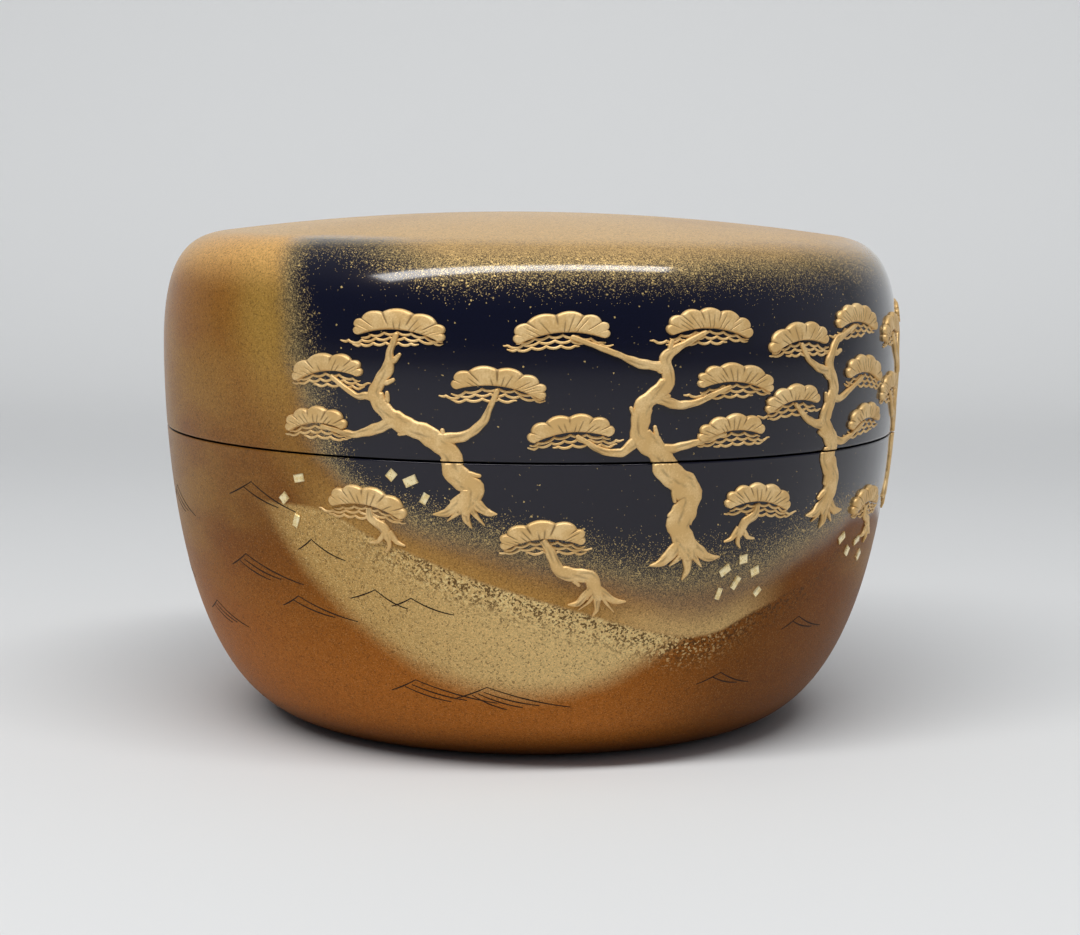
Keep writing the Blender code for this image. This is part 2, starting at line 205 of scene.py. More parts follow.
# %% Sweep
FLOOR_REACH = 40.0
SWEEP_HALF_WIDTH = 1.3
SWEEP_BEND_START = 0.34
SWEEP_BEND = 0.26
SWEEP_STEPS = 24
SWEEP_TOP = 1.0
SWEEP_BELOW = 0.00005

sweep_line = [(-FLOOR_REACH, 0.0), (SWEEP_BEND_START, 0.0)]
for i in range(1, SWEEP_STEPS + 1):
    turn = math.pi / 2 * i / SWEEP_STEPS
    sweep_line.append(
        (SWEEP_BEND_START + SWEEP_BEND * math.sin(turn), SWEEP_BEND * (1 - math.cos(turn)))
    )
sweep_line.append((SWEEP_BEND_START + SWEEP_BEND, SWEEP_TOP))
sweep_points = [
    (side * SWEEP_HALF_WIDTH, y, z - SWEEP_BELOW) for y, z in sweep_line for side in (-1, 1)
]
sweep_faces = [(2 * i, 2 * i + 1, 2 * i + 3, 2 * i + 2) for i in range(len(sweep_line) - 1)]
for side in (-1, 1):
    first = len(sweep_points)
    for x, y in ((1, -1), (1, 1), (0, 1), (0, -1)):
        reach = FLOOR_REACH if x else SWEEP_HALF_WIDTH
        sweep_points.append((side * reach, y * FLOOR_REACH, -SWEEP_BELOW))
    sweep_faces.append(tuple(range(first, first + 4))[::side])
sweep_mesh = bpy.data.meshes.new("sweep")
sweep_mesh.from_pydata(sweep_points, [], sweep_faces)
sweep_mesh.shade_smooth()
sweep = put("sweep", sweep_mesh)
print("sweep of", len(sweep_faces), "faces")

# %% [markdown]
# The sheet is plain pale paper. It is a little lighter where it rises, because less light reaches it
# there.

# %% Paper
PAPER_PALE = (0.64, 0.645, 0.64, 1)
PAPER_TALL = (0.92, 0.925, 0.91, 1)
PAPER_RISE = (0.2, 0.55)


def axis(vector, name):
    """One coordinate of a vector."""
    return vector.node("ShaderNodeSeparateXYZ", sockets={0: vector}, output=name)


paper, paper_shader, wire = finish("pale_paper", {"Roughness": 0.85, "Specular IOR Level": 0.1})
paper_y = axis(wire.node("ShaderNodeTexCoord", output="Object"), "Y")
paper_y.step(*PAPER_RISE).blend(PAPER_PALE, PAPER_TALL).into(paper_shader, "Base Color")
sweep_mesh.materials.append(paper)
print("paper from", PAPER_PALE[:3], "to", PAPER_TALL[:3])

# %% [markdown]
# ## Light
#
# One long softbox hangs above and before the caddy, a little to the left and twisted. It is what the
# polished shoulder mirrors as a long bright streak, and it lights the gold.

# %% Softbox
SOFTBOX_PLACE = Vector((-0.045, -0.285, 0.60))
SOFTBOX_AIM = Vector((0.0, -0.03, 0.05))
SOFTBOX_SIZE = (0.90, 0.115)
SOFTBOX_TWIST = math.radians(22)
SOFTBOX_POWER = 5.1

softbox_light = bpy.data.lights.new("softbox", "AREA")
softbox_light.shape = "RECTANGLE"
softbox_light.size, softbox_light.size_y = SOFTBOX_SIZE
softbox_light.energy = SOFTBOX_POWER
softbox = put("softbox", softbox_light)
softbox.location = SOFTBOX_PLACE
softbox_turn = (SOFTBOX_AIM - SOFTBOX_PLACE).to_track_quat("-Z", "Y").to_matrix()
softbox.rotation_euler = (softbox_turn @ Matrix.Rotation(SOFTBOX_TWIST, 3, "Z")).to_euler()
print("softbox", SOFTBOX_SIZE, "m,", SOFTBOX_POWER, "W")

# %% [markdown]
# The rest of the light comes from the world: dim at the viewer's side and at the left, grey at the
# right, above and along the horizon, and bright behind, so that the edges of the round wall, which
# mirror what is behind, turn pale.

# %% World
SKY_DIM = (0.11, 0.118, 0.14, 1)
SKY_RIGHT = (0.36, 0.37, 0.40, 1)
SKY_BACK = (0.80, 0.81, 0.80, 1)
SKY_TOP = (0.34, 0.35, 0.38, 1)
SKY_HORIZON = (0.24, 0.245, 0.25, 1)
RIGHTWARDS = (0.85, 0.53, 0.0)
BACKWARDS = (0.05, 0.998, 0.0)

world = bpy.data.worlds.new("studio")
world.use_nodes = True
bpy.context.scene.world = world
way = Wire(world.node_tree).node("ShaderNodeTexCoord", output="Generated")
right_side = way.math("DOT_PRODUCT", way, RIGHTWARDS)
back = way.math("DOT_PRODUCT", way, BACKWARDS)
high = axis(way, "Z")
sky = right_side.step(0.0, 0.95).blend(SKY_DIM, SKY_RIGHT)
sky = back.step(0.74, 0.93).blend(sky, SKY_BACK)
sky = high.step(0.3, 0.9).blend(sky, SKY_TOP)
sky = high.step(0.04, 0.0).blend(sky, SKY_HORIZON)
sky.into(world.node_tree.nodes["Background"], "Color")
print("world from", SKY_DIM[:3], "to", SKY_BACK[:3])

# %% [markdown]
# ## The outline that everything lies on
#
# Both turnings share one outline: a slightly domed top, a round shoulder, and a flank that falls to a
# small foot. It is drawn with cubic curves, as on the lathe template, in millimetres. Every later piece
# asks this outline where the wall is at its height, so gold and lacquer lie on one another without
# fitting.

# %% Outline
MM = 0.001
RADIUS = 41.0
HEIGHT = 56.0
SEAM = 32.2
LIP = 32.4
WIDEST = 41.0
DOME_EDGE = 34.0
DOME_RISE = 2.3
DOME_HANDLE = 0.55
SHOULDER_HANDLE = 0.83
FLANK_HANDLE = 0.29
FOOT_HANDLE = 0.89
FOOT_RADIUS = 26.0
FOOT_FLARE = math.radians(11.5)
DOME_STEPS = 20
SHOULDER_STEPS = 40
FLANK_STEPS = 72


def curve_points(p0, p1, p2, p3, steps):
    points = []
    for i in range(1, steps + 1):
        t = i / steps
        s = 1 - t
        points.append(s**3 * p0 + 3 * s * s * t * p1 + 3 * s * t * t * p2 + t**3 * p3)
    return points


outline = [
    Vector((DOME_EDGE * i / DOME_STEPS, HEIGHT - DOME_RISE * (i / DOME_STEPS) ** 2))
    for i in range(DOME_STEPS + 1)
]
widest = Vector((RADIUS, WIDEST))
foot = Vector((FOOT_RADIUS, 0))
dome_slope = -2 * DOME_RISE / DOME_EDGE
dome_handle = DOME_HANDLE * (RADIUS - DOME_EDGE)
foot_handle = FOOT_HANDLE * (RADIUS - FOOT_RADIUS)
outline += curve_points(
    outline[-1],
    outline[-1] + Vector((dome_handle, dome_handle * dome_slope)),
    Vector((RADIUS, WIDEST + SHOULDER_HANDLE * (HEIGHT - DOME_RISE - WIDEST))),
    widest,
    SHOULDER_STEPS,
)
outline += curve_points(
    widest,
    Vector((RADIUS, WIDEST * (1 - FLANK_HANDLE))),
    foot + foot_handle * Vector((math.cos(FOOT_FLARE), math.sin(FOOT_FLARE))),
    foot,
    FLANK_STEPS,
)
print("outline of", len(outline), "points")

# %% [markdown]
# Two functions read the outline. One gives the radius and the normal at a height, and the other a point
# on the wall, or lifted off it, from the two lengths that a drawing on the wall has.

# %% Places on the wall
rising = outline[::-1]
heights = [p.y for p in rising]


def wall(height):
    """The wall's radius at a height, and how far out and up its normal points."""
    i = min(max(bisect_left(heights, height), 1), len(rising) - 1)
    low, high = rising[i - 1], rising[i]
    share = (height - low.y) / (high.y - low.y)
    before, after = rising[max(i - 2, 0)], rising[min(i + 1, len(rising) - 1)]
    way = (after - before).normalized()
    return low.x + share * (high.x - low.x), way.y, -way.x


def on_wall(along, above, lift):
    """A point on the wall in metres, from mm along it from the front, above the seam and off it."""
    radius, out, up = wall(SEAM + above)
    angle = along / RADIUS
    radius += lift * out
    return Vector(
        (radius * math.sin(angle), -radius * math.cos(angle), SEAM + above + lift * up)
    ) * MM


print("radius at the seam", round(wall(SEAM)[0], 2), "mm")

# %% [markdown]
# ## The black and gold ground
#
# The ground is black lacquer with gold powder sprinkled through a tube: dense in the clouds at the left
# and the back and along the low shore, and thinning out grain by grain where it fades into black. It
# could be painted as a picture, but powder is a density, so this finish adds up soft masks of density in
# wall coordinates and then lets single grains fall where chance allows.

# %% Wall coordinates
ground, ground_shader, wire = finish(
    "gold_dust_on_black",
    {
        "Specular IOR Level": 0.1,
        "Specular Tint": (0.80, 0.50, 0.24, 1),
        "Coat Roughness": 0.11,
        "Coat IOR": 1.42,
    },
)


def in_mm(wire):
    """Object coordinates in millimetres."""
    return wire.node("ShaderNodeTexCoord", output="Object") * 1000.0


place = in_mm(wire)
x, y, above_foot = [axis(place, name) for name in "XYZ"]
along = x.math("ARCTAN2", x, 0 - y) * RADIUS
print("ground finish: wall coordinates in mm")

# %% [markdown]
# Nothing sprinkled by hand has a ruled edge, so a soft noise makes every edge wander. All the masks
# below are soft steps in millimetres, along the wall or above the foot, and often a window between two
# such steps.

# %% Uneven edges
SEED_WAY = (1.0, 1.7, 0.6)


def noise(vector, scale, detail):
    return vector.node(
        "ShaderNodeTexNoise", {}, {"Vector": vector, "Scale": scale, "Detail": detail}
    )


def cloud_noise(size, detail, seed):
    """Soft noise round 0 with patches of about the given size in mm."""
    return noise(place + tuple(seed * c for c in SEED_WAY), 1 / size, detail) - 0.5


wander = cloud_noise(size=7.0, detail=3.0, seed=3.0)
ripple = cloud_noise(size=1.6, detail=2.0, seed=11.0)


def uneven(value, by):
    return value + wander * by


def between(value, start, full, fade, end):
    """1 from full to fade and 0 outside start and end."""
    return value.step(start, full) * value.step(end, fade)


print("noise for the edges and the relief")

# %% [markdown]
# The edges of the clouds are drawn as curves: for each height where the left and the back cloud end, and
# for each place along the wall where the shore begins to show and where it is solid. A Float Curve node
# holds such a line. Its own range is 0 to 1, so lengths are scaled into it and out again.

# %% Edges of the clouds
SPAN = 130.0
TALL = 60.0


def edge_along(points):
    """A height in mm for each place along the wall, through (along, height) points."""
    scaled = [((u + SPAN) / (2 * SPAN), z / TALL) for u, z in points]
    share = (along + SPAN) / (2 * SPAN)
    return share.node("ShaderNodeFloatCurve", {"points": scaled}, {"Value": share}) * TALL


def edge_up(points):
    """A place along the wall in mm for each height, through (height, along) points."""
    scaled = [(z / TALL, (u + SPAN) / (2 * SPAN)) for z, u in points]
    share = above_foot / TALL
    made = share.node("ShaderNodeFloatCurve", {"points": scaled}, {"Value": share})
    return made * (2 * SPAN) - SPAN


left_edge = edge_up([
    (0, -14), (27, -16), (30, -19), (32, -21), (36, -22.5), (40, -24),
    (45, -25.5), (49, -26.5), (53, -29), (56, -32), (60, -34),
])
back_edge = edge_up([
    (0, 66), (14, 70), (24, 77), (32, 86), (38, 92), (44, 95), (49, 101), (54, 110), (60, 114),
])
shore_fade = edge_along([
    (-130, 33), (-25, 33), (-15, 31), (-5, 29.5), (5, 28), (14, 26.5),
    (24, 27), (40, 29.5), (52, 28.5), (66, 26.5), (80, 29), (130, 33),
])
shore_full = edge_along([
    (-130, 27), (-25, 27), (-15, 24), (-5, 20.5), (5, 17.5), (14, 15), (19, 14.2),
    (26, 16), (36, 19.5), (45, 23), (56, 22), (68, 20), (82, 23), (130, 26),
])
print("four cloud edges")

# %% [markdown]
# Each cloud is a soft step across its edge, and the clouds add up the way layers of powder do: what one
# leaves bare, the next may still cover. The crown starts on the shoulder and the top is solid. A few
# stray grains lie everywhere.

# %% Density of the powder
STRAY = 0.010
LEFT_FADE, LEFT_FULL = 5.0, 3.5
BACK_SOFT = 8.0
SHOULDER_DIP = 3.2
CROWN_FADE = (46.9, 55.1)
TOP_FADE = (53.3, 53.9)

left_cloud = uneven(along, 3.0).step(left_edge + LEFT_FADE, left_edge - LEFT_FULL)
back_cloud = uneven(along, 14.0).step(back_edge - BACK_SOFT, back_edge + BACK_SOFT)
shore = uneven(above_foot, 2.0).step(shore_fade, shore_full)
left_shoulder = between(along, -60.0, -40.0, -24.0, -8.0)
crown = (uneven(above_foot, 1.4) - left_shoulder * SHOULDER_DIP).step(*CROWN_FADE)
crown = 1 - (1 - crown) * (1 - uneven(above_foot, 0.3).step(*TOP_FADE))
bare = (1 - left_cloud) * (1 - back_cloud) * (1 - shore) * (1 - crown) * (1 - STRAY)
density = 1 - bare
print("powder density: four clouds and stray grains")

# %% [markdown]
# Powder shows as grains of less than a tenth of a millimetre in a haze of finer powder. A Voronoi
# texture gives every small cell a random number of its own: a grain lies in the cell where that number
# is below the density. The same random numbers make some grains lighter than others.

# %% Grains
GRAIN = 0.062
FLAKE = 0.15
COARSE = 0.2
HAZE = 0.6
THINNING = 1.5
FLAKE_SHARE = 0.08


def cells(size, seed, output):
    moved = place + (seed, seed, seed)
    return place.node("ShaderNodeTexVoronoi", {}, {"Vector": moved, "Scale": 1 / size}, output)


def chance(size, seed, channel):
    colour = cells(size, seed, "Color")
    return colour.node("ShaderNodeSeparateColor", sockets={0: colour}, output=channel)


grain_luck, grain_shade = [chance(GRAIN, 0.0, channel) for channel in ("Red", "Green")]
flake_luck, flake_shade = [chance(FLAKE, 9.0, channel) for channel in ("Red", "Green")]
coarse_luck = chance(COARSE, 5.0, "Red")
grain_share = density**THINNING
haze = density * HAZE
powder_grain = (grain_luck < grain_share) * (1 - haze) + grain_share * haze
grain = powder_grain.math("MAXIMUM", powder_grain, flake_luck < density * FLAKE_SHARE)
print("grains of", GRAIN, "mm, flakes of", FLAKE, "mm and coarse grains of", COARSE, "mm")

# %% [markdown]
# The gold isn't one colour, so each tone has a mask of its own: an olive stripe along the left cloud's
# edge, the pale shore with a mist above it, the low and deep parts, and slow drifts at the sides and the
# back. Two of them hold painted light: the pale shore is partly a painted reflection of a bright room,
# and the deep gold on the lower right flank is painted shade.

# %% Masks of the gold
SHORE_LOW = 8.5
SHORE_BEND = 0.02
SHORE_SOFT = 2.0
CRISP = 0.3
DRIFT_STRETCH = (1.0, 1.0, 2.2)

sideways = along.math("ABSOLUTE", along)
above_edge = above_foot - shore_full
below_edge = shore_full - above_foot
stripe = between(uneven(along - left_edge, 5.0), -11.0, -3.5, -0.5, 3.0)
stripe = stripe * (above_foot.step(17.0, 30.0) * 0.3 + above_foot.step(33.0, 45.0) * 0.6)
# The pale olive band is partly finer powder on the shore and partly a painted reflection of a bright
# room in the clear coat. Its lower edge lies where a dark table would be mirrored.
shore_foot = SHORE_LOW + along * along * SHORE_BEND
olive_and_reflection = uneven(above_foot, 1.4).step(shore_foot - SHORE_SOFT, shore_foot + SHORE_SOFT)
olive_and_reflection = olive_and_reflection * below_edge.step(-CRISP, CRISP) * sideways.step(34.0, 24.0)
mist = between(above_edge, -CRISP, CRISP, 0.5, 5.0) * between(along, -26.0, -18.0, 22.0, 32.0)
low = uneven(above_foot, 2.0).step(26.0, 6.0)
# Painted shade: the lower right flank turns deeper gold, as if less light fell there. Apart from that,
# the gold deepens downwards.
right_flank_shade = between(along, 12.0, 44.0, 84.0, 122.0) * above_foot.step(34.0, 26.0)
deep = 1 - (1 - above_foot.step(49.0, 25.0) * 0.88) * (1 - right_flank_shade)
drift = noise(place * DRIFT_STRETCH, 0.045, 4.0).step(0.42, 0.70) * sideways.step(16.0, 46.0)
print("masks: stripe, olive, mist, low, deep and drift")

# %% [markdown]
# The gold is brown at the left, pale olive on the shore where the powder is finer, darker and redder
# towards the foot, and light on the crown. Painted light is mixed in as well: a painted highlight all
# round the shoulder, a painted reflection in the shore's pale olive, painted shade on the lower right
# flank and a painted contact shadow just above the foot. Each tone is mixed in by its mask, single
# grains on black are tinted like dust, and then every grain is made a little lighter or darker.

# %% Colours of the gold
GOLD_BROWN = (0.37, 0.155, 0.025, 1)
# painted highlight: lighter gold for the shoulder, where the softbox would shine on it
GOLD_SHOULDER_HIGHLIGHT = (0.84, 0.48, 0.155, 1)
# deep gold, also used as painted shade on the lower right flank
GOLD_DEEP_AND_SHADE = (0.165, 0.050, 0.004, 1)
GOLD_STRIPE = (0.46, 0.265, 0.055, 1)
GOLD_INLAND = (0.50, 0.30, 0.095, 1)
# pale shore gold, partly a painted reflection
GOLD_SHORE_AND_REFLECTION = (0.72, 0.50, 0.21, 1)
GOLD_OCHRE = (0.50, 0.28, 0.075, 1)
GOLD_LOW = (0.39, 0.125, 0.017, 1)
# painted contact shadow
GOLD_FOOT_SHADOW = (0.15, 0.045, 0.006, 1)
GOLD_CROWN = (0.66, 0.43, 0.17, 1)
GOLD_TOP = (0.46, 0.25, 0.06, 1)
GOLD_DUST = (0.50, 0.36, 0.14, 1)
GRAIN_DARK = (0.075, 0.030, 0.008, 1)
# bright grains, and the colour of painted glints
GRAIN_BRIGHT_AND_GLINT = (0.86, 0.66, 0.30, 1)
BLACK = (0.0022, 0.0032, 0.0130, 1)

# painted shade: the low gold also turns deeper on the right flank
low_gold = between(along, 6.0, 30.0, 84.0, 122.0).blend(GOLD_LOW, GOLD_DEEP_AND_SHADE)
# Painted contact shadow: the gold darkens in the last few millimetres above the foot.
low_gold = above_foot.step(0.5, 5.0).blend(GOLD_FOOT_SHADOW, low_gold)
mist_gold = along.step(4.0, 16.0).blend(GOLD_OCHRE, GOLD_SHORE_AND_REFLECTION)
shore_and_reflection_gold = along.step(-26.0, 8.0).blend(GOLD_INLAND, GOLD_SHORE_AND_REFLECTION)
crown_gold = (drift * 0.6).blend(GOLD_CROWN, GOLD_TOP)
gold = GOLD_BROWN
for share, tone in (
    (deep, GOLD_DEEP_AND_SHADE),
    (drift * 0.45, GOLD_STRIPE),
    (stripe, GOLD_STRIPE),
    # a painted highlight all round the shoulder
    (above_foot.step(47.5, 52.5) * 0.85, GOLD_SHOULDER_HIGHLIGHT),
    (low, low_gold),
    (mist * 0.7, mist_gold),
    (olive_and_reflection, shore_and_reflection_gold),
    (crown, crown_gold),
    (density.step(0.95, 0.4), GOLD_DUST),
):
    gold = share.blend(gold, tone)
gold = gold * (0.62 + grain_shade * 0.42 + flake_shade * 0.34)
print("gold mixed from nine tones over", GOLD_BROWN[:3])

# %% [markdown]
# Along the upper edge of the shore lie coarser grains, some dark, some bright, in a band with a crisp
# top that thins out downwards. Single flakes that lie flat flash everywhere, most on the shore: these
# flashes are painted glints, a bright colour given to some grains.

# %% Coarse grains and flakes
COARSE_DARK, COARSE_BRIGHT = 0.30, 0.84
FLAKE_DARK, PAINTED_GLINT_FROM = 0.09, 0.92

speckled = between(below_edge, -0.25, 0.25, 0.8, 4.6) * between(along, -24.0, -8.0, 30.0, 52.0)
bright_part = speckled * along.step(30.0, 12.0)
for share, tone in (
    ((coarse_luck < COARSE_DARK) * speckled * 0.85, GRAIN_DARK),
    ((coarse_luck > COARSE_BRIGHT) * bright_part * 0.8, GRAIN_BRIGHT_AND_GLINT),
    ((flake_shade < FLAKE_DARK) * (0.25 + olive_and_reflection * 0.2), GRAIN_DARK),
    # painted glints: a bright colour on some grains, most on the shore
    ((grain_shade > PAINTED_GLINT_FROM) * (0.12 + olive_and_reflection * 0.6), GRAIN_BRIGHT_AND_GLINT),
):
    gold = share.blend(gold, tone)
grain.blend(BLACK, gold).into(ground_shader, "Base Color")
print("coarse grains along the shore, flakes everywhere")

# %% [markdown]
# Grains are partly metal and a little rougher than lacquer. Dense powder takes up most of the clear
# coat, least high on the caddy, where the gold is polished more.

# %% Metal and coat
polish = above_foot.step(16.0, 36.0)
(grain * (0.28 + polish * 0.17)).into(ground_shader, "Metallic")
(1 - density.step(0.75, 1.0) * (0.92 - polish * 0.34)).into(ground_shader, "Coat Weight")
(0.22 + grain * (0.16 + grain_shade * 0.1)).into(ground_shader, "Roughness")
print("metal and coat follow the grains")

# %% [markdown]
# Under the polished clear coat the powder is still slightly uneven. A small bump tilts the grains so
# that some catch the light. It goes to the base normal only, so the clear coat over it stays smooth.

# %% Grain relief
GRAIN_BUMP = 0.00004


def bump(height, strength, distance, shader):
    """Tilts a shader's normal by a height, with a distance in metres."""
    sockets = {"Strength": strength, "Distance": distance, "Height": height}
    height.node("ShaderNodeBump", {}, sockets).into(shader, "Normal")


grain_height = cells(GRAIN, 0.0, "Distance") * grain + ripple * 0.3
bump(grain_height, 0.25, GRAIN_BUMP, ground_shader)
print("grain relief of", GRAIN_BUMP / MM, "mm")

# %% [markdown]
# ## The plain black lacquer
#
# Inside, on the rim and under the foot the lacquer is plain black. Brushed and hardly polished, it has a
# very slight unevenness, which breaks up its reflections.

# %% Inner lacquer
INNER_DARK = (0.006, 0.0055, 0.006, 1)
INNER_LIGHT = (0.013, 0.011, 0.010, 1)
INNER_BUMP = 0.00005
BRUSH_STRETCH = (1.0, 1.0, 0.25)

inner, inner_shader, wire = finish(
    "brushed_black_lacquer",
    {"Coat Weight": 0.6, "Coat Roughness": 0.06, "Specular IOR Level": 0.3},
)
brushed = noise(in_mm(wire) * BRUSH_STRETCH, 0.9, 4.0)
brushed.step(0.3, 0.7).blend(INNER_DARK, INNER_LIGHT).into(inner_shader, "Base Color")
(0.22 + brushed * 0.18).into(inner_shader, "Roughness")
bump(brushed, 0.15, INNER_BUMP, inner_shader)
print("inner lacquer ready")

# %% [markdown]
# ## Lid and body
#
# Both are turned, so both are lathe shapes: an outline of radius and height, swept round the axis. The
# solids have flat facets, so these finer ones stand for them. The lip and the edge of the body are eased
# a little where the two meet, as the lacquer does by itself, and the seam stays open by a hair.

# %% Turning
TURN_STEPS = 224


def new_piece(name, work, *finishes):
    """Turns a bmesh into an object of the scene, smooth, with its normals outwards."""
    bmesh.ops.recalc_face_normals(work, faces=work.faces)
    for face in work.faces:
        face.smooth = True
    mesh = bpy.data.meshes.new(name)
    work.to_mesh(mesh)
    work.free()
    for material in finishes:
        mesh.materials.append(material)
    return put(name, mesh)


def turned(name, points, finishes):
    """A lathe mesh from (radius, height) points in mm, with a finish for each stretch between points."""
    work = bmesh.new()
    rings = []
    for radius, height in points:
        if radius == 0:
            rings.append([work.verts.new((0, 0, height * MM))])
            continue
        rings.append([
            work.verts.new((
                radius * MM * math.sin(2 * math.pi * i / TURN_STEPS),
                -radius * MM * math.cos(2 * math.pi * i / TURN_STEPS),
                height * MM,
            ))
            for i in range(TURN_STEPS)
        ])
    for k, (first, second) in enumerate(zip(rings, rings[1:])):
        for i in range(TURN_STEPS):
            j = (i + 1) % TURN_STEPS
            if len(first) == 1:
                corners = (first[0], second[i], second[j])
            elif len(second) == 1:
                corners = (first[i], second[0], first[j])
            else:
                corners = (first[i], second[i], second[j], first[j])
            work.faces.new(corners).material_index = finishes[k]
    return new_piece(name, work, ground, inner)


def inward(points, distance):
    """An outline moved square to itself, inwards."""
    moved = []
    for i, point in enumerate(points):
        way = (points[min(i + 1, len(points) - 1)] - points[max(i - 1, 0)]).normalized()
        moved.append(point - distance * Vector((-way.y, way.x)))
    return moved


def eased(radius, height, out, up):
    """Three points round a corner: above or below it, close to it, and beside it."""
    return [(radius, height + up), (radius + 0.3 * out, height + 0.3 * up), (radius + out, height)]


print("lathe with", TURN_STEPS, "steps")

# %% [markdown]
# The lid is an even shell: its ceiling is the outline moved inwards, down to a straight bore that slides
# over the rim. Only its outside has the gold ground.

# %% Lid
EASE = 0.08
CLEAR = 1.5 * EASE
LID_WALL = 2.2

lid_outer = [p for p in outline if p.y > LIP + CLEAR]
lip_radius = wall(LIP)[0]
bore = lip_radius - LID_WALL
lid_line = [tuple(p) for p in lid_outer] + eased(lip_radius, LIP, -EASE, EASE)
outer_count = len(lid_line)
lid_line += [(bore + EASE, LIP), (bore, LIP + EASE)]
ceiling = [(min(p.x, bore), p.y) for p in inward(lid_outer, LID_WALL) if p.y > LIP + CLEAR]
ceiling[0] = (0.0, ceiling[0][1])
lid_line += ceiling[::-1]
lid_finishes = [0 if k < outer_count - 1 else 1 for k in range(len(lid_line) - 1)]
lid_shell = turned("lid_shell", lid_line, lid_finishes)
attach(lid_shell, "lid")
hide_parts("lid")
print("lid shell:", len(lid_shell.data.polygons), "faces, bore", round(bore, 2), "mm")

# %% [markdown]
# The body is a bowl whose standing rim guides the lid. Its line starts inside on the floor, goes up and
# over the rim, out to the seam, down the flank and round the foot ring into the recess below.

# %% Body
BODY_WALL = 3.2
RIM_TOP = 41.2
RIM_CHAMFER = 0.4
RIM_CLEARANCE = 0.3
RIM_THICKNESS = 1.6
FLOOR = 3.8
FLOOR_CORNER = ((2.2, 0.0), (0.8, 0.12))
LEVEL = 0.05
FOOT_TOP = 0.4
FOOT_CORNER = ((1.1, 0.12), (2.0, 0.0))
RING_WIDTH = 3.5
RECESS = 0.7

rim_outer = bore - RIM_CLEARANCE
rim_inner = rim_outer - RIM_THICKNESS
ring_inner = FOOT_RADIUS - RING_WIDTH
seam_radius = wall(SEAM)[0]
body_outer = [p for p in outline if FOOT_TOP < p.y < SEAM - CLEAR]
inside = [
    (min(p.x, rim_inner), max(p.y, FLOOR))
    for p in inward([Vector((seam_radius, SEAM))] + body_outer, BODY_WALL)
    if p.y < SEAM
]
bowl = [p for p in inside[::-1] if p[1] > FLOOR + LEVEL]
body_line = [(0.0, FLOOR)]
body_line += [(bowl[0][0] - inset, FLOOR + rise) for inset, rise in FLOOR_CORNER] + bowl
body_line += eased(rim_inner, RIM_TOP, RIM_CHAMFER, -RIM_CHAMFER)
body_line += eased(rim_outer, RIM_TOP, -RIM_CHAMFER, -RIM_CHAMFER)[::-1]
body_line += [(rim_outer, SEAM + EASE), (rim_outer + EASE, SEAM)]
inner_count = len(body_line) + 1
body_line += eased(seam_radius, SEAM, -EASE, -EASE)[::-1] + [tuple(p) for p in body_outer]
foot_edge = body_line[-1][0]
body_line += [(foot_edge - inset, rise) for inset, rise in FOOT_CORNER]
outer_end = len(body_line)
body_line += [(ring_inner, 0.0), (ring_inner - RECESS, RECESS), (0.0, RECESS)]
body_finishes = [
    0 if inner_count - 1 <= k < outer_end - 1 else 1 for k in range(len(body_line) - 1)
]
body_cup = turned("body_cup", body_line, body_finishes)
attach(body_cup, "body")
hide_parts("body")
print("body cup:", len(body_cup.data.polygons), "faces, rim", round(rim_outer, 2), "mm")

# %% [markdown]
# ## Raised gold
#
# The pines are modelled in relief with lacquer and charcoal powder, then covered with fine gold powder
# and burnished to a satin. The gold is even but not flat: powder makes it finely mottled, and the high
# parts are rubbed lighter. The grooves between the needles get painted shade: a point attribute on the
# meshes, groove, says how deep in a groove a point is, and the gold is darkened by it. The edges of the
# strips and the bark's cracks get painted shade through the same attribute.

# %% Satin gold
GOLD_SATIN = (0.71, 0.45, 0.17, 1)
GOLD_RUBBED = (0.88, 0.62, 0.29, 1)
GOLD_GROOVE_SHADE = (0.20, 0.115, 0.035, 1)
SATIN_BUMP = 0.00004

satin, satin_shader, wire = finish("satin_raised_gold", {"Specular IOR Level": 0.5})
satin_place = in_mm(wire)
powder = noise(satin_place, 6.0, 3.0)
patches = noise(satin_place, 0.5, 2.0)
groove = wire.node("ShaderNodeAttribute", {"attribute_name": "groove"}, output="Fac")
satin_colour = (patches * 0.6 + powder * 0.4).step(0.40, 0.66).blend(GOLD_SATIN, GOLD_RUBBED)
# Painted shade: the groove value darkens the gold in grooves, at strip edges and in bark cracks.
groove.blend(satin_colour, GOLD_GROOVE_SHADE).into(satin_shader, "Base Color")
(0.45 - groove * 0.25).into(satin_shader, "Metallic")
(0.38 + powder * 0.2).into(satin_shader, "Roughness")
bump(powder, 0.35, SATIN_BUMP, satin_shader)
print("satin gold ready")

# %% [markdown]
# ## Pine tufts
#
# A tuft is a cushion of needles seen from the side: a scalloped cap over an arched underside. Each has
# its place along the wall and above the seam, its width, rise, tilt and number of lobes. It could be
# sculpted, but two drawn edges give every tuft clean lobes at any size.

# %% Edges of a tuft
TUFT_WRAP = 0.5
TUFT_ARCH = 0.37
LOBE_DEPTH = 0.34
LOBE_SWAY = 0.18
LOBE_FULL = 0.8

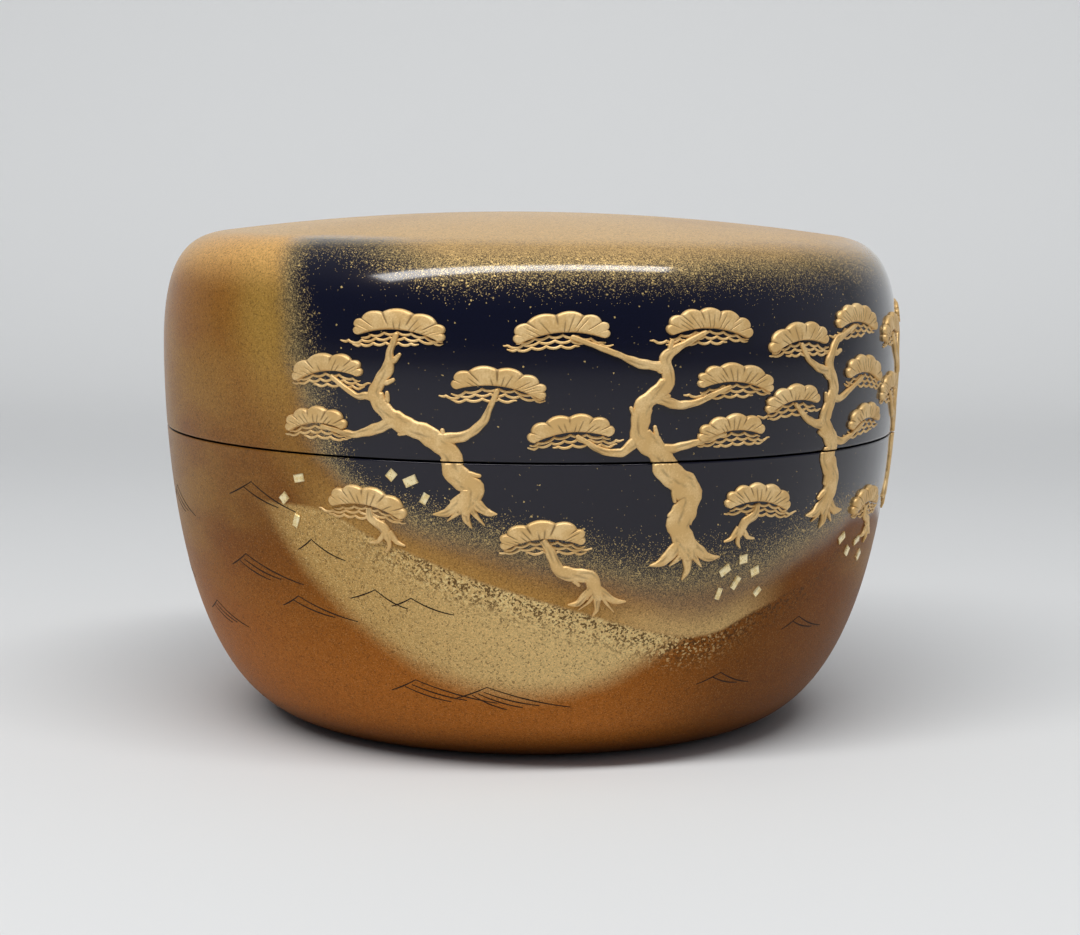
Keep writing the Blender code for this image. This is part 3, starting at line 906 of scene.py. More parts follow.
TUFTS = {
    "lid_tuft_1": (-20.6, 8.4, 8.4, 1.9, 6, 6),
    "lid_tuft_2": (-12.8, 12.7, 9.8, 2.1, -3, 7),
    "lid_tuft_3": (-22.0, 3.2, 7.6, 1.8, 5, 6),
    "lid_tuft_4": (-2.8, 7.5, 9.4, 2.0, -6, 7),
    "lid_tuft_5": (4.2, 3.1, 8.6, 1.9, 5, 6),
    "lid_tuft_6": (3.2, 12.7, 9.6, 2.1, 4, 7),
    "lid_tuft_7": (18.4, 13.0, 9.8, 2.1, -3, 7),
    "lid_tuft_8": (21.4, 7.7, 9.2, 2.0, -5, 7),
    "lid_tuft_9": (21.0, 2.9, 8.0, 1.8, 4, 6),
    "lid_tuft_10": (29.6, 11.5, 8.8, 2.0, 5, 6),
    "lid_tuft_11": (40.2, 13.0, 9.2, 2.0, -4, 7),
    "lid_tuft_12": (41.8, 7.7, 8.8, 2.0, -6, 6),
    "lid_tuft_13": (28.8, 5.5, 7.8, 1.8, 6, 6),
    "lid_tuft_14": (42.4, 2.8, 7.8, 1.8, 4, 6),
    "lid_tuft_15": (51.4, 11.6, 8.8, 2.0, 4, 7),
    "lid_tuft_16": (62.6, 12.6, 9.0, 2.0, -3, 7),
    "lid_tuft_17": (63.4, 6.8, 8.6, 1.9, -5, 6),
    "lid_tuft_18": (50.6, 5.4, 8.2, 1.9, 5, 6),
    "body_tuft_1": (-16.4, -4.6, 8.8, 2.0, -7, 6),
    "body_tuft_2": (1.6, -7.4, 8.8, 2.0, 4, 7),
    "body_tuft_3": (25.0, -4.4, 8.8, 2.0, -5, 7),
    "body_tuft_4": (45.4, -6.4, 8.2, 1.9, 4, 6),
}


def lobe_count(lobes, sway, share):
    """How many lobes lie before a place on the cap: they aren't all of one width."""
    wave = math.sin(2 * math.pi * share + sway) - math.sin(sway)
    return lobes * (share + LOBE_SWAY * wave / (2 * math.pi))


def cap(width, rise, lobes, sway, share):
    """The scalloped upper edge of a tuft, from its left corner over the top to its right corner."""
    angle = math.pi + TUFT_WRAP - (math.pi + 2 * TUFT_WRAP) * share
    place = Vector((width / 2 * math.cos(angle), rise * math.sin(angle)))
    out = Vector((rise * math.cos(angle), width / 2 * math.sin(angle))).normalized()
    bulge = abs(math.sin(math.pi * lobe_count(lobes, sway, share))) ** LOBE_FULL
    return place - LOBE_DEPTH * (1 - bulge) * out


def underside(width, rise, share):
    """The arched lower edge of a tuft, from its left corner to its right corner."""
    left, right = cap(width, rise, 1, 0, 0), cap(width, rise, 1, 0, 1)
    return left.lerp(right, share) + Vector((0, TUFT_ARCH * rise * 4 * share * (1 - share)))


def tilted(place, tilt):
    turn = math.radians(tilt)
    return Vector((
        place.x * math.cos(turn) - place.y * math.sin(turn),
        place.x * math.sin(turn) + place.y * math.cos(turn),
    ))


print(len(TUFTS), "tufts drawn")

# %% [markdown]
# A grid runs from the underside to the cap. Its edge is rounded over, and grooves that fan out from
# below are pressed into it: clefts between the lobes from above, and needle lines of several lengths
# from below.

# %% Tufts
TUFT_RELIEF = 0.42
TUFT_ROUND = 0.28
TUFT_SWELL = 0.08
GROOVE_WIDTH = 0.06
GROOVE_DEPTH = 0.09
GROOVE_FADE = 6
GROOVE_REACH = 0.42
NEEDLES = (0.0, 0.45, 0.6, 0.72, 0.82)
NEEDLE_DEPTH = 0.8
CLEFTS = (0.2, 0.35, 0.55)
LOBE_COLUMNS = 30
END_GAP = 0.008
BURY = -0.06
ROWS = (0.0, 0.02, 0.05, 0.09, 0.15, 0.25, 0.4, 0.6, 0.75, 0.85, 0.91, 0.95, 0.98, 1.0)


def ramp(value):
    return min(1.0, max(0.0, value))


def dent(distance, width):
    """The section of a groove: 1 in its middle and 0 away from it."""
    return math.exp(-((distance / width) ** 2))


def groove_mesh():
    """An empty bmesh whose points carry painted shade: how deep in a groove they are."""
    work = bmesh.new()
    work.verts.layers.float.new("groove")
    return work


def skin(work, rings):
    """Closes rows of points to a solid: its face, its back and both its ends."""
    last = len(rings[0]) - 1
    for first, second in zip(rings, rings[1:]):
        for k in range(last):
            work.faces.new((first[k], second[k], second[k + 1], first[k + 1]))
        work.faces.new((first[0], first[last], second[last], second[0]))
    work.faces.new(rings[0])
    work.faces.new(rings[-1][::-1])


def tuft_piece(name, u, v, width, rise, tilt, lobes):
    luck = random.Random(name)
    sway = luck.uniform(0, 2 * math.pi)
    needles = [luck.choice(NEEDLES) for _ in range(2 * lobes + 2)]
    clefts = [luck.choice(CLEFTS) for _ in range(lobes + 1)]
    work = groove_mesh()
    layer = work.verts.layers.float["groove"]
    columns = lobes * LOBE_COLUMNS
    grid = []
    for i in range(columns + 1):
        share = END_GAP + (1 - 2 * END_GAP) * i / columns
        low, top = underside(width, rise, share), cap(width, rise, lobes, sway, share)
        long = (top - low).length
        lobe = lobe_count(lobes, sway, share)
        half_lobe = int(2 * lobe)
        needle, cleft = needles[half_lobe], clefts[min(round(lobe), lobes)]
        to_cusp = abs(lobe - round(lobe)) * width / lobes
        to_needle = abs(lobe - math.floor(lobe) - (1 + half_lobe % 2) / 3) * width / lobes
        middle = ramp(8 * (GROOVE_REACH - abs(share - 0.5)))
        column = []
        for q in ROWS:
            spot = tilted(low.lerp(top, q), tilt)
            edge = ramp(min(q, 1 - q) * long / TUFT_ROUND)
            round_over = math.sqrt(1 - (1 - edge) ** 2)
            cusp = dent(to_cusp, GROOVE_WIDTH) * ramp(GROOVE_FADE * (q - cleft))
            line = dent(to_needle, GROOVE_WIDTH) * ramp(GROOVE_FADE * (needle - q))
            pressed = middle * max(cusp, NEEDLE_DEPTH * line) * ramp(2.5 * edge)
            relief = TUFT_RELIEF * (1 + TUFT_SWELL * math.sin(math.pi * q))
            lift = BURY + (relief - BURY) * round_over - GROOVE_DEPTH * pressed
            point = work.verts.new(on_wall(u + spot.x, v + spot.y, max(lift, BURY)))
            # the groove value here is painted shade in the needle lines and clefts
            point[layer] = pressed
            column.append(point)
        grid.append(column)
    skin(work, grid)
    return new_piece(name, work, satin)


for node, shape in TUFTS.items():
    tuft = tuft_piece("raised_" + node, *shape)
    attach(tuft, node.split("_")[0])
    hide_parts(node)
print(len(TUFTS), "tufts of", len(tuft.data.polygons), "faces or so each")

# %% [markdown]
# ## Trunks and branches
#
# The trunks wind up through the tufts and are cut through at the seam, where lid and body part. Each is
# a line with a width at every point. The line is smoothed, swept with a half-round section, and a little
# knotted, so that it doesn't look like a bent wire.

# %% Strips
FINE_SECTION = (-1.0, -0.88, -0.6, -0.22, 0.22, 0.6, 0.88, 1.0)
BARK_SECTION = tuple(math.sin(math.pi / 2 * i / 9) for i in range(-9, 10))
LINE_STEPS = 11
KINK = 0.4
TIP_STEPS = 4
TIP_BLUNT = 0.3
KNOTS = ((1.9, 1.0), (4.3, 0.6))
BARK_LINES = ((-0.55, 0.4), (0.0, 2.1), (0.5, 4.4))
BARK_WIDTH = 0.09
BARK_DEPTH = 0.07
BARK_FROM = 0.6
CRACK_SWAY = 0.2
EDGE_SHADE = 0.5
CRACK_SHADE = 0.6


def bark_dip(offset, width, travelled, start):
    """How deep a place is in the short wandering cracks of the bark."""
    dip = 0.0
    for middle, phase in BARK_LINES:
        phase += start
        crack = middle + CRACK_SWAY * math.sin(1.3 * travelled + phase)
        dash = max(0.0, math.sin(1.5 * travelled + 2.3 * phase))
        dip = max(dip, dash * dent((offset - crack) * width / 2, BARK_WIDTH))
    return dip


def smooth_line(points):
    """A line through (along, above, width) points, rounded by the points round each stretch."""
    line = []
    for i in range(len(points) - 1):
        a = Vector(points[max(i - 1, 0)])
        b, c = Vector(points[i]), Vector(points[i + 1])
        d = Vector(points[min(i + 2, len(points) - 1)])
        for k in range(LINE_STEPS):
            t = k / LINE_STEPS
            curved = 0.5 * (
                2 * b + (c - a) * t + (2 * a - 5 * b + 4 * c - d) * t * t
                + (3 * b - a - 3 * c + d) * t**3
            )
            line.append(curved.lerp(b.lerp(c, t), KINK))
    line.append(Vector(points[-1]))
    return line


def add_strip(work, line, relief, luck, bark=0.0):
    """A closed raised strip along a line of (along, above, width), perhaps with bark."""
    layer = work.verts.layers.float["groove"]
    way = (line[-1] - line[-2]).to_2d().normalized()
    tip = line[-1]
    for k in range(1, TIP_STEPS + 1):
        angle = math.pi / 2 * k / (TIP_STEPS + TIP_BLUNT)
        ahead = way * (tip.z / 2 * math.sin(angle))
        line = line + [Vector((tip.x + ahead.x, tip.y + ahead.y, tip.z * math.cos(angle)))]
    section = BARK_SECTION if bark else FINE_SECTION
    flat = 4 if bark else 2
    phases = [luck.uniform(0, 2 * math.pi) for _ in range(4)]
    travelled = 0.0
    rings = []
    for i, point in enumerate(line):
        before, after = line[max(i - 1, 0)], line[min(i + 1, len(line) - 1)]
        travelled += (point - before).to_2d().length
        along_line = (after - before).to_2d().normalized()
        side = Vector((-along_line.y, along_line.x))
        cracked = bark and point.z > BARK_FROM
        ring = []
        for offset in section:
            knot = sum(
                share * math.sin(pace * travelled + phases[2 * k + (offset < 0)])
                for k, (pace, share) in enumerate(KNOTS)
            )
            spot = point.to_2d() + side * (point.z / 2 * (1 + bark * knot) * offset)
            lift = relief * math.sqrt(max(0.0, 1 - abs(offset) ** flat))
            lift *= ramp(0.35 + point.z / 0.9)
            dip = bark_dip(offset, point.z, travelled, phases[0]) if cracked else 0.0
            edge = abs(offset) == 1.0
            vert = work.verts.new(on_wall(*spot, BURY if edge else lift - BARK_DEPTH * dip))
            # painted shade at the strip's edges and in the bark's cracks
            vert[layer] = EDGE_SHADE if edge else CRACK_SHADE * dip
            ring.append(vert)
        rings.append(ring)
    skin(work, rings)


print("strips of", len(FINE_SECTION), "or", len(BARK_SECTION), "points across")

# %% [markdown]
# A trunk on the caddy is drawn in one go over lid and body and then parted with a fine blade. Here each
# half is made a little long and cut at its own edge with a plane.

# %% Cut at the seam
def cut_at_seam(work, part):
    """Keeps what lies on one part, and closes the cut."""
    height, side = (LIP, 1) if part == "lid" else (SEAM, -1)
    everything = list(work.verts) + list(work.edges) + list(work.faces)
    cut = bmesh.ops.bisect_plane(
        work, geom=everything, plane_co=(0, 0, height * MM), plane_no=(0, 0, side), clear_inner=True
    )
    edges = [e for e in cut["geom_cut"] if isinstance(e, bmesh.types.BMEdge) and e.is_valid]
    edges = [e for e in edges if e.is_boundary]
    if edges:
        bmesh.ops.holes_fill(work, edges=edges, sides=0)


print("lid cut at", LIP, "mm, body at", SEAM, "mm")

# %% [markdown]
# Each trunk has its own line first and then its branches, or on the body its roots, all as (along,
# above, width) in millimetres from the front and the seam.

# %% Lines of the trunks
TRUNKS = {
    "lid_trunk_1": [
        [
            (-8.2, -3.0, 2.2), (-7.4, 0.6, 2.1), (-9.6, 2.6, 1.9), (-13.4, 4.2, 1.8),
            (-15.2, 6.6, 1.5), (-13.8, 9.0, 1.2), (-13.6, 10.6, 0.8),
        ],
        [(-13.0, 4.0, 1.3), (-15.6, 2.9, 1.0), (-17.6, 2.4, 0.7)],
        [(-15.0, 6.2, 1.1), (-16.2, 6.3, 0.8), (-17.2, 6.2, 0.6)],
        [(-9.2, 2.4, 1.3), (-6.2, 2.6, 1.0), (-4.2, 4.2, 0.8), (-3.6, 5.6, 0.6)],
    ],
    "lid_trunk_2": [
        [
            (14.8, -3.0, 2.6), (13.4, 0.6, 2.4), (11.0, 3.0, 2.1), (11.4, 5.8, 1.8),
            (13.8, 8.0, 1.5), (13.4, 10.2, 1.2), (15.0, 11.4, 0.8),
        ],
        [(11.2, 2.8, 1.3), (9.2, 1.2, 0.9), (7.4, 1.3, 0.7)],
        [(12.6, 1.4, 1.2), (14.8, 1.5, 0.9), (16.6, 1.9, 0.7)],
        [(12.2, 6.6, 1.2), (15.0, 5.7, 0.9), (16.8, 5.9, 0.7)],
        [(13.6, 9.4, 1.1), (10.8, 9.8, 0.9), (8.6, 10.7, 0.6)],
    ],
    "lid_trunk_3": [
        [
            (34.2, -3.0, 2.3), (35.4, 0.6, 2.1), (33.8, 3.4, 1.8),
            (35.2, 6.4, 1.5), (34.2, 9.2, 1.2), (35.6, 11.4, 0.8),
        ],
        [(34.0, 2.8, 1.1), (32.0, 3.2, 0.9), (30.6, 3.9, 0.6)],
        [(35.2, 1.6, 1.1), (37.0, 0.9, 0.8), (38.4, 1.2, 0.6)],
        [(35.0, 5.6, 1.1), (36.4, 5.4, 0.8), (37.4, 5.8, 0.6)],
        [(34.6, 8.2, 1.1), (32.6, 8.7, 0.8), (30.8, 9.7, 0.6)],
    ],
    "lid_trunk_4": [
        [
            (56.4, -3.0, 2.3), (57.4, 0.6, 2.1), (55.6, 3.4, 1.8),
            (57.4, 6.4, 1.5), (56.4, 9.2, 1.2), (57.6, 11.2, 0.8),
        ],
        [(56.2, 2.2, 1.2), (54.2, 2.4, 0.9), (52.6, 3.5, 0.6)],
        [(56.8, 4.8, 1.1), (58.6, 4.4, 0.8), (59.8, 5.0, 0.6)],
        [(56.8, 7.8, 1.1), (54.8, 8.8, 0.8), (53.2, 9.7, 0.6)],
    ],
    "body_trunk_1": [
        [(-7.8, 2.0, 2.0), (-7.3, -0.6, 2.2), (-5.4, -2.4, 2.3), (-6.0, -4.2, 1.9)],
        [(-5.8, -3.4, 1.3), (-8.0, -4.9, 0.9), (-9.3, -5.1, 0.5)],
        [(-5.7, -3.4, 1.3), (-4.0, -4.7, 0.9), (-3.0, -4.9, 0.5)],
        [(-5.9, -3.8, 1.2), (-6.0, -5.4, 0.8), (-5.5, -6.3, 0.45)],
    ],
    "body_trunk_2": [
        [(12.8, 2.0, 2.4), (14.0, -0.6, 2.6), (16.6, -3.2, 2.8), (15.6, -6.2, 2.6), (16.8, -8.8, 2.2)],
        [(16.2, -7.6, 1.5), (14.2, -9.8, 1.0), (12.8, -10.2, 0.5)],
        [(16.6, -7.8, 1.5), (19.0, -9.6, 1.0), (20.6, -9.7, 0.5)],
        [(16.7, -8.2, 1.4), (17.0, -10.6, 0.9), (16.5, -11.8, 0.45)],
    ],
    "body_trunk_3": [
        [(35.8, 2.0, 2.1), (34.9, -0.6, 2.3), (36.2, -3.0, 2.4), (35.2, -5.6, 2.0)],
        [(35.7, -4.4, 1.3), (33.6, -6.2, 0.9), (32.3, -6.4, 0.5)],
        [(35.4, -4.8, 1.3), (37.4, -6.3, 0.9), (38.8, -6.4, 0.5)],
        [(35.3, -5.0, 1.2), (35.4, -7.0, 0.8), (34.9, -7.9, 0.45)],
    ],
    "body_trunk_4": [
        [(57.8, 2.0, 2.1), (56.9, -0.6, 2.3), (58.4, -3.2, 2.5), (57.6, -6.0, 2.1)],
        [(58.0, -4.8, 1.4), (55.8, -6.6, 1.0), (54.4, -6.8, 0.5)],
        [(57.8, -5.2, 1.4), (60.2, -6.6, 1.0), (61.8, -6.7, 0.5)],
        [(57.6, -5.4, 1.3), (58.0, -7.4, 0.9), (57.5, -8.4, 0.45)],
    ],
    "body_trunk_5": [
        [(2.4, -8.6, 1.0), (3.4, -10.6, 1.3), (6.4, -11.2, 1.5), (7.4, -13.0, 1.3)],
        [(7.0, -12.2, 1.0), (5.4, -13.8, 0.7), (4.4, -14.0, 0.45)],
        [(7.2, -12.4, 1.0), (9.2, -13.7, 0.7), (10.4, -13.8, 0.45)],
        [(7.3, -12.6, 0.9), (7.4, -14.4, 0.6), (7.0, -15.2, 0.4)],
    ],
}
print(len(TRUNKS), "trunks with", sum(len(r) - 1 for r in TRUNKS.values()), "branches and roots")

# %% [markdown]
# A branch goes on under the tuft that it holds up. Short broken twigs stand out of the trunks, and thin
# pointed roots lie between the thick ones, as on old trees.

# %% Branch ends, stubs and small roots
LEAD_ON = 6.0
LEAD_SHARE = 0.8
LEAD_END, LEAD_START = 0.5, 0.7
TOES = (((-0.9, -0.7), (-1.9, -1.5)), ((0.9, -0.8), (1.8, -1.8)))
STUB_WIDTHS = (0.7, 0.6, 0.4)


def nearest_tuft(part, place):
    spots = [Vector(shape[:2]) for node, shape in TUFTS.items() if node.startswith(part)]
    return min(spots, key=lambda spot: (spot - place).length)


def led_on(part, ribbon, both_ends):
    """A branch carried on under the tuft that it holds up."""
    end = Vector(ribbon[-1][:2])
    tuft_spot = nearest_tuft(part, end)
    if (tuft_spot - end).length < LEAD_ON:
        ribbon = ribbon + [(*end.lerp(tuft_spot, LEAD_SHARE), LEAD_END)]
    start = Vector(ribbon[0][:2])
    tuft_spot = nearest_tuft(part, start)
    if both_ends and (tuft_spot - start).length < LEAD_ON / 2:
        ribbon = [(*tuft_spot, LEAD_START)] + ribbon
    return ribbon


def small_roots(base):
    """Two thin pointed roots between the thick ones."""
    u, v, width = base
    return [
        [(u, v + 0.6, 0.5 * width), (u + a[0], v + a[1], 0.3 * width), (u + b[0], v + b[1], 0.15)]
        for a, b in TOES
    ]


def stubs(ribbon, luck):
    """Short broken twigs that stand out of a trunk."""
    made = []
    for here, after in zip(map(Vector, ribbon[1:]), map(Vector, ribbon[2:])):
        way = (after - here).to_2d().normalized()
        side = Vector((-way.y, way.x)) * luck.choice((-1, 1))
        root = here.to_2d().lerp(after.to_2d(), 0.5)
        long = luck.uniform(0.6, 1.0) + 0.5 * here.z
        bend = root + (side + 0.2 * way) * (0.4 * long)
        tip = root + (side + 0.7 * way) * (0.7 * long)
        made.append([(*spot, width) for spot, width in zip((root, bend, tip), STUB_WIDTHS)])
    return made


print("branches lead on for up to", LEAD_ON, "mm")

# %% [markdown]
# Each trunk is one piece with all its branches, stubs and roots. Branches are a little lower than the
# trunk, and stubs lower still.

# %% Trunks
TRUNK_RELIEF = 0.36
THIN_RELIEF = 0.8 * TRUNK_RELIEF
BRANCH_LOWER = 0.12
ROOT_POINT = 0.4
BARK = 0.09

bark_luck = random.Random(7)
for node, ribbons in TRUNKS.items():
    part = node.split("_")[0]
    work = groove_mesh()
    for i, ribbon in enumerate(ribbons):
        if part == "lid" or i == 0:
            ribbon = led_on(part, ribbon, i == 0)
        else:
            ribbon = ribbon[:-1] + [(*ribbon[-1][:2], ROOT_POINT * ribbon[-1][2])]
        relief = TRUNK_RELIEF * (1 - BRANCH_LOWER * (i > 0))
        add_strip(work, smooth_line(ribbon), relief, bark_luck, BARK)
    extra = stubs(ribbons[0], bark_luck)
    if part == "body":
        extra += small_roots(ribbons[0][-1])
    for ribbon in extra:
        add_strip(work, smooth_line(ribbon), THIN_RELIEF, bark_luck, BARK)
    cut_at_seam(work, part)
    trunk = new_piece("raised_" + node, work, satin)
    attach(trunk, part)
    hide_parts(node)
    print(trunk.name, len(trunk.data.polygons), "faces")

# %% [markdown]
# Three tufts stand alone near the shore. Each is a young tree with a short bent stem, drawn with the
# same strips, and all three stems are one piece on the body.

# %% Young stems
STEM = ((0.2, -0.2, 0.6), (0.4, -1.3, 0.9), (1.6, -2.0, 1.1), (2.2, -3.0, 1.0))
STEM_ROOTS = (
    ((-0.2, 0.6, 0.7), (-1.1, -0.5, 0.5), (-2.0, -0.7, 0.2)),
    ((0.1, 0.5, 0.7), (0.9, -0.5, 0.5), (1.7, -0.8, 0.2)),
    ((0.0, 0.4, 0.7), (0.1, -0.9, 0.5), (-0.3, -1.5, 0.2)),
)
STEM_SIDES = {"body_tuft_1": 1, "body_tuft_3": -1, "body_tuft_4": 1}

stem_work = groove_mesh()
for node, side in STEM_SIDES.items():
    u, v = TUFTS[node][:2]
    stem = [(u + side * a, v + b, width) for a, b, width in STEM]
    foot_u, foot_v = stem[-1][:2]
    roots = [[(foot_u + side * a, foot_v + b, width) for a, b, width in root] for root in STEM_ROOTS]
    for ribbon in [stem] + roots:
        add_strip(stem_work, smooth_line(ribbon), THIN_RELIEF, bark_luck, BARK)
young_stems = new_piece("young_stems", stem_work, satin)
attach(young_stems, "body")
print(len(STEM_SIDES), "young stems")

# %% [markdown]
# ## Twigs under the tufts
#
# Below each tuft lie three thin rows of twigs, drawn as small hanging waves whose points reach up to the
# row above. They are raised lines of gold, so they are thin strips too, one row offset against the next.

# %% Twig rows
TWIG_WIDTH = 0.28
TWIG_WAVE = 1.4
TWIG_SWAG = 0.26
TWIG_DROP = 0.2
TWIG_GAP = 0.5
TWIG_STEP = 0.1
TWIG_ENDS = (0.92, 1.05)
TWIG_ROWS = ((1.0, 0.92), (0.62, 1.12), (0.42, 0.72))

twig_luck = random.Random(21)


def twig_row(u, v, width, rise, slant, lean, row):
    """One wavy row under a tuft, as a line of (along, above, width)."""
    bend, spread = TWIG_ROWS[row]
    reach = width / 2 * spread
    drift = width * (lean * 0.07 * row + twig_luck.uniform(-0.04, 0.04))
    start = drift - reach * twig_luck.uniform(*TWIG_ENDS)
    end = drift + reach * twig_luck.uniform(*TWIG_ENDS)
    phase = 0.5 * (row % 2) + twig_luck.uniform(-0.1, 0.1)
    wave = TWIG_WAVE * twig_luck.uniform(0.9, 1.15)
    count = int((end - start) / TWIG_STEP)
    middle = underside(width, rise, 0.5).y
    line = []
    for i in range(count + 1):
        across = start + (end - start) * i / count
        share = ramp(across / (width * 0.86) + 0.5)
        arch = middle + bend * (underside(width, rise, share).y - middle)
        from_end = min(across - start, end - across)
        swag = TWIG_SWAG * abs(math.sin(math.pi * (across / wave + phase))) ** 0.7
        swag *= ramp(0.15 + from_end / 0.9)
        spot = tilted(Vector((across, arch - TWIG_DROP - TWIG_GAP * row - swag)), slant)
        line.append(Vector((u + spot.x, v + spot.y, TWIG_WIDTH * ramp(0.5 + 0.9 * from_end))))
    return line


print("twig rows every", TWIG_GAP, "mm")

# %% [markdown]
# All the rows on one part are one piece. A row that crosses the seam goes to both parts and is cut
# there.

# %% Twigs
TWIG_RELIEF = 0.18
LID_FROM = 0.3

twigs = {part: groove_mesh() for part in ("lid", "body")}
for u, v, width, rise, tilt, _ in TUFTS.values():
    slant = tilt * 0.6 + twig_luck.uniform(-2, 2)
    lean = twig_luck.choice((-1, 1))
    for row in range(len(TWIG_ROWS)):
        line = twig_row(u, v, width, rise, slant, lean, row)
        ups = [p.y for p in line]
        reaches = {"lid": max(ups) > LID_FROM, "body": min(ups) < 0}
        for part, work in twigs.items():
            if reaches[part]:
                add_strip(work, line, TWIG_RELIEF, twig_luck)
for part, work in twigs.items():
    cut_at_seam(work, part)
    piece = new_piece(part + "_twigs", work, satin)
    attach(piece, part)
    print(piece.name, len(piece.data.polygons), "faces")

# %% [markdown]
# ## Cut gold
#
# Small slips cut from sheet gold are laid on the wet lacquer one by one. They are bright and nearly
# flat, with slight creases that break up their shine.

# %% Bright gold
FOIL_DEEP = (0.78, 0.58, 0.24, 1)
FOIL_PALE = (0.98, 0.84, 0.50, 1)
FOIL_BUMP = 0.00008

foil, foil_shader, wire = finish("bright_cut_gold", {"Coat Weight": 0.5, "Coat Roughness": 0.05})
creases = noise(in_mm(wire), 1.8, 3.0)
creases.step(0.3, 0.7).blend(FOIL_DEEP, FOIL_PALE).into(foil_shader, "Base Color")
(0.55 + creases * 0.2).into(foil_shader, "Metallic")
(0.18 + creases * 0.2).into(foil_shader, "Roughness")
bump(creases, 0.5, FOIL_BUMP, foil_shader)
print("bright gold ready")

# %% [markdown]
# Each slip is a small plate with an inset top, because the clear coat rounds its edge off. Its numbers
# are its place, its turn in degrees, its length and its width.

# %% Cut gold slips
FOIL_THICK = 0.18
FOIL_EASE = 0.1
FOIL_LEVELS = ((0.0, BURY), (0.0, 0.6 * FOIL_THICK), (FOIL_EASE, FOIL_THICK))
CORNERS = ((-1, -1), (1, -1), (1, 1), (-1, 1))
CUT_GOLD = [
    (-11.6, -1.9, 24, 1.4, 0.9), (-10.2, -3.6, 61, 1.1, 0.7), (-13.6, -1.4, 48, 1.0, 0.9),
    (-24.4, -2.4, 12, 1.3, 0.8), (-26.6, -4.6, 40, 1.1, 0.9), (-25.2, -6.8, 66, 1.4, 0.7),
    (21.6, -11.2, 35, 1.3, 0.8), (23.8, -10.2, 8, 1.0, 0.9), (23.2, -12.6, 58, 1.4, 0.7),
    (25.6, -11.6, 20, 1.1, 0.9), (21.2, -13.6, 74, 1.2, 0.6), (26.4, -13.8, 47, 1.0, 0.7),
    (40.2, -9.6, 30, 1.3, 0.8), (42.2, -11.2, 62, 1.0, 0.9), (44.6, -10.4, 14, 1.4, 0.7),
    (46.4, -12.2, 50, 1.1, 0.8),
]

for i, (u, v, turn, length, width) in enumerate(CUT_GOLD):
    work = bmesh.new()
    levels = []
    for inset, lift in FOIL_LEVELS:
        half = (length / 2 - inset, width / 2 - inset)
        corners = [tilted(Vector((sx * half[0], sy * half[1])), turn) for sx, sy in CORNERS]
        levels.append([work.verts.new(on_wall(u + c.x, v + c.y, lift)) for c in corners])
    for lower, upper in zip(levels, levels[1:]):
        for k in range(4):
            work.faces.new((lower[k], lower[(k + 1) % 4], upper[(k + 1) % 4], upper[k]))
    work.faces.new(levels[-1])
    work.faces.new(levels[0][::-1])
    slip = new_piece(f"foil_{i + 1}", work, foil)
    for polygon in slip.data.polygons:
        polygon.use_smooth = False
    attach(slip, "body")
    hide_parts(f"cut_gold_{i + 1}")
print(len(CUT_GOLD), "slips of cut gold")

# %% [markdown]
# ## Drawn hills
#
# Fine dark lines on the gold stand for far hills: a peak with a short and a long slope, and a few lines
# inside the long one. They are drawn with thin dark lacquer, which is slightly uneven.

# %% Dark lacquer for lines
INK_DARK = (0.012, 0.007, 0.004, 1)
INK_LIGHT = (0.045, 0.022, 0.009, 1)

ink, ink_shader, wire = finish("drawn_lacquer_line", {"Specular IOR Level": 0.12})
ink_flow = noise(in_mm(wire), 1.2, 2.0)
ink_flow.step(0.3, 0.75).blend(INK_DARK, INK_LIGHT).into(ink_shader, "Base Color")
(0.5 + ink_flow * 0.2).into(ink_shader, "Roughness")
print("dark lacquer ready")

# %% [markdown]
# The lines are less than two tenths of a millimetre wide, so they are very thin strips. Each hill has
# its peak's place, its rise, the lengths of its left and right slope, and its number of inner lines.

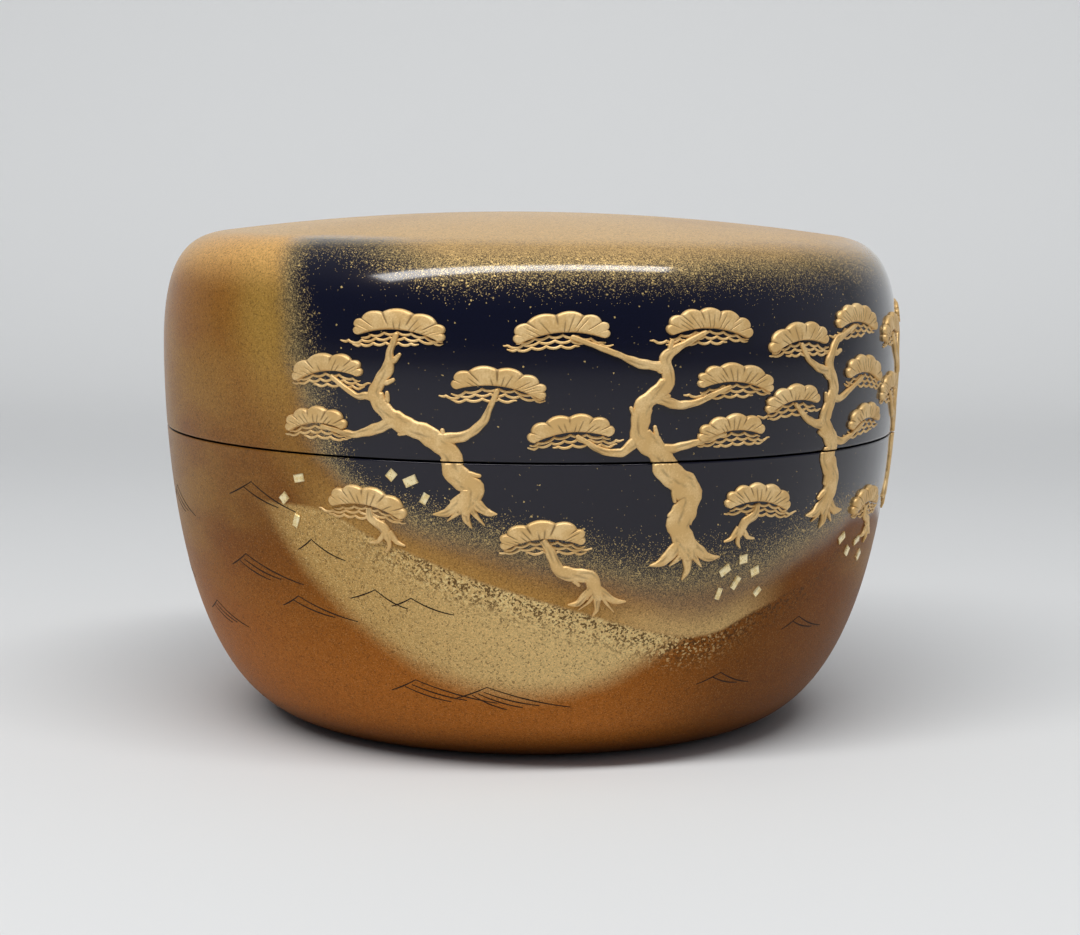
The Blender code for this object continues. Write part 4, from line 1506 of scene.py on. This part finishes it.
# %% Hill lines
HILL_WIDTH = 0.17
HILL_TAPER = 0.35
HILL_RELIEF = 0.035
HILL_STEPS = 18
STRETCH_LEFT, STRETCH_RIGHT = 1.2, 1.35
HILLS = [
    (-31.5, -3.4, 2.2, 3.4, 4.6, 1), (-23.5, -8.6, 1.6, 1.6, 3.0, 0), (-34.0, -11.2, 2.0, 2.6, 6.4, 2),
    (-26.4, -14.8, 1.7, 2.2, 5.6, 1), (-16.2, -13.2, 1.5, 2.6, 2.6, 0), (-12.2, -13.8, 1.3, 1.9, 3.4, 0),
    (-12.8, -22.6, 1.9, 2.8, 7.0, 2), (-4.4, -23.0, 1.9, 3.2, 7.2, 3), (24.0, -22.4, 1.4, 2.6, 3.8, 1),
    (34.6, -17.4, 1.5, 2.2, 4.2, 1), (-52.0, -6.0, 2.2, 3.0, 5.2, 2), (-60.5, -14.0, 2.0, 3.0, 6.0, 2),
    (-75.0, -8.0, 2.2, 3.2, 5.6, 1), (-88.0, -15.0, 2.0, 2.8, 6.2, 2), (-106.0, -9.0, 2.2, 3.2, 5.4, 2),
    (112.0, -13.0, 2.0, 3.0, 6.0, 2), (98.0, -9.4, 1.8, 2.6, 5.0, 1), (64.0, -16.0, 1.7, 2.6, 5.0, 1),
    (78.0, -12.6, 1.8, 2.8, 5.4, 2), (88.0, -17.4, 1.6, 2.4, 4.8, 1), (-118.0, -15.4, 1.9, 2.8, 5.6, 2),
    (-98.0, -19.6, 1.5, 2.4, 4.6, 1), (-68.0, -20.4, 1.6, 2.4, 5.0, 1), (-44.0, -17.6, 1.7, 2.6, 5.2, 2),
]

hill_work = groove_mesh()
hill_luck = random.Random(4)


def draw(start, end, sag):
    """A slightly sagging line between two places on the wall."""
    line = []
    for i in range(HILL_STEPS + 1):
        t = i / HILL_STEPS
        spot = Vector(start).lerp(Vector(end), t) - Vector((0, sag * 4 * t * (1 - t)))
        line.append(Vector((*spot, HILL_WIDTH * (1 - HILL_TAPER * abs(2 * t - 1)))))
    add_strip(hill_work, line, HILL_RELIEF, hill_luck)


for u, v, rise, left, right, inner_lines in HILLS:
    left, right = STRETCH_LEFT * left, STRETCH_RIGHT * right
    draw((u - left, v - 0.75 * rise), (u, v), 0.08)
    draw((u, v), (u + right, v - 1.15 * rise), 0.25)
    for k in range(inner_lines):
        share = k / inner_lines
        first = (u - 0.55 * left * (k + 0.6) / inner_lines, v - 0.3 * rise * (1 + share))
        draw(first, (u + right * (0.62 - 0.2 * k), v - 1.05 * rise - 0.25 * k), 0.2)
hills = new_piece("hill_lines", hill_work, ink)
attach(hills, "body")
print(len(HILLS), "hills,", len(hills.data.polygons), "faces")
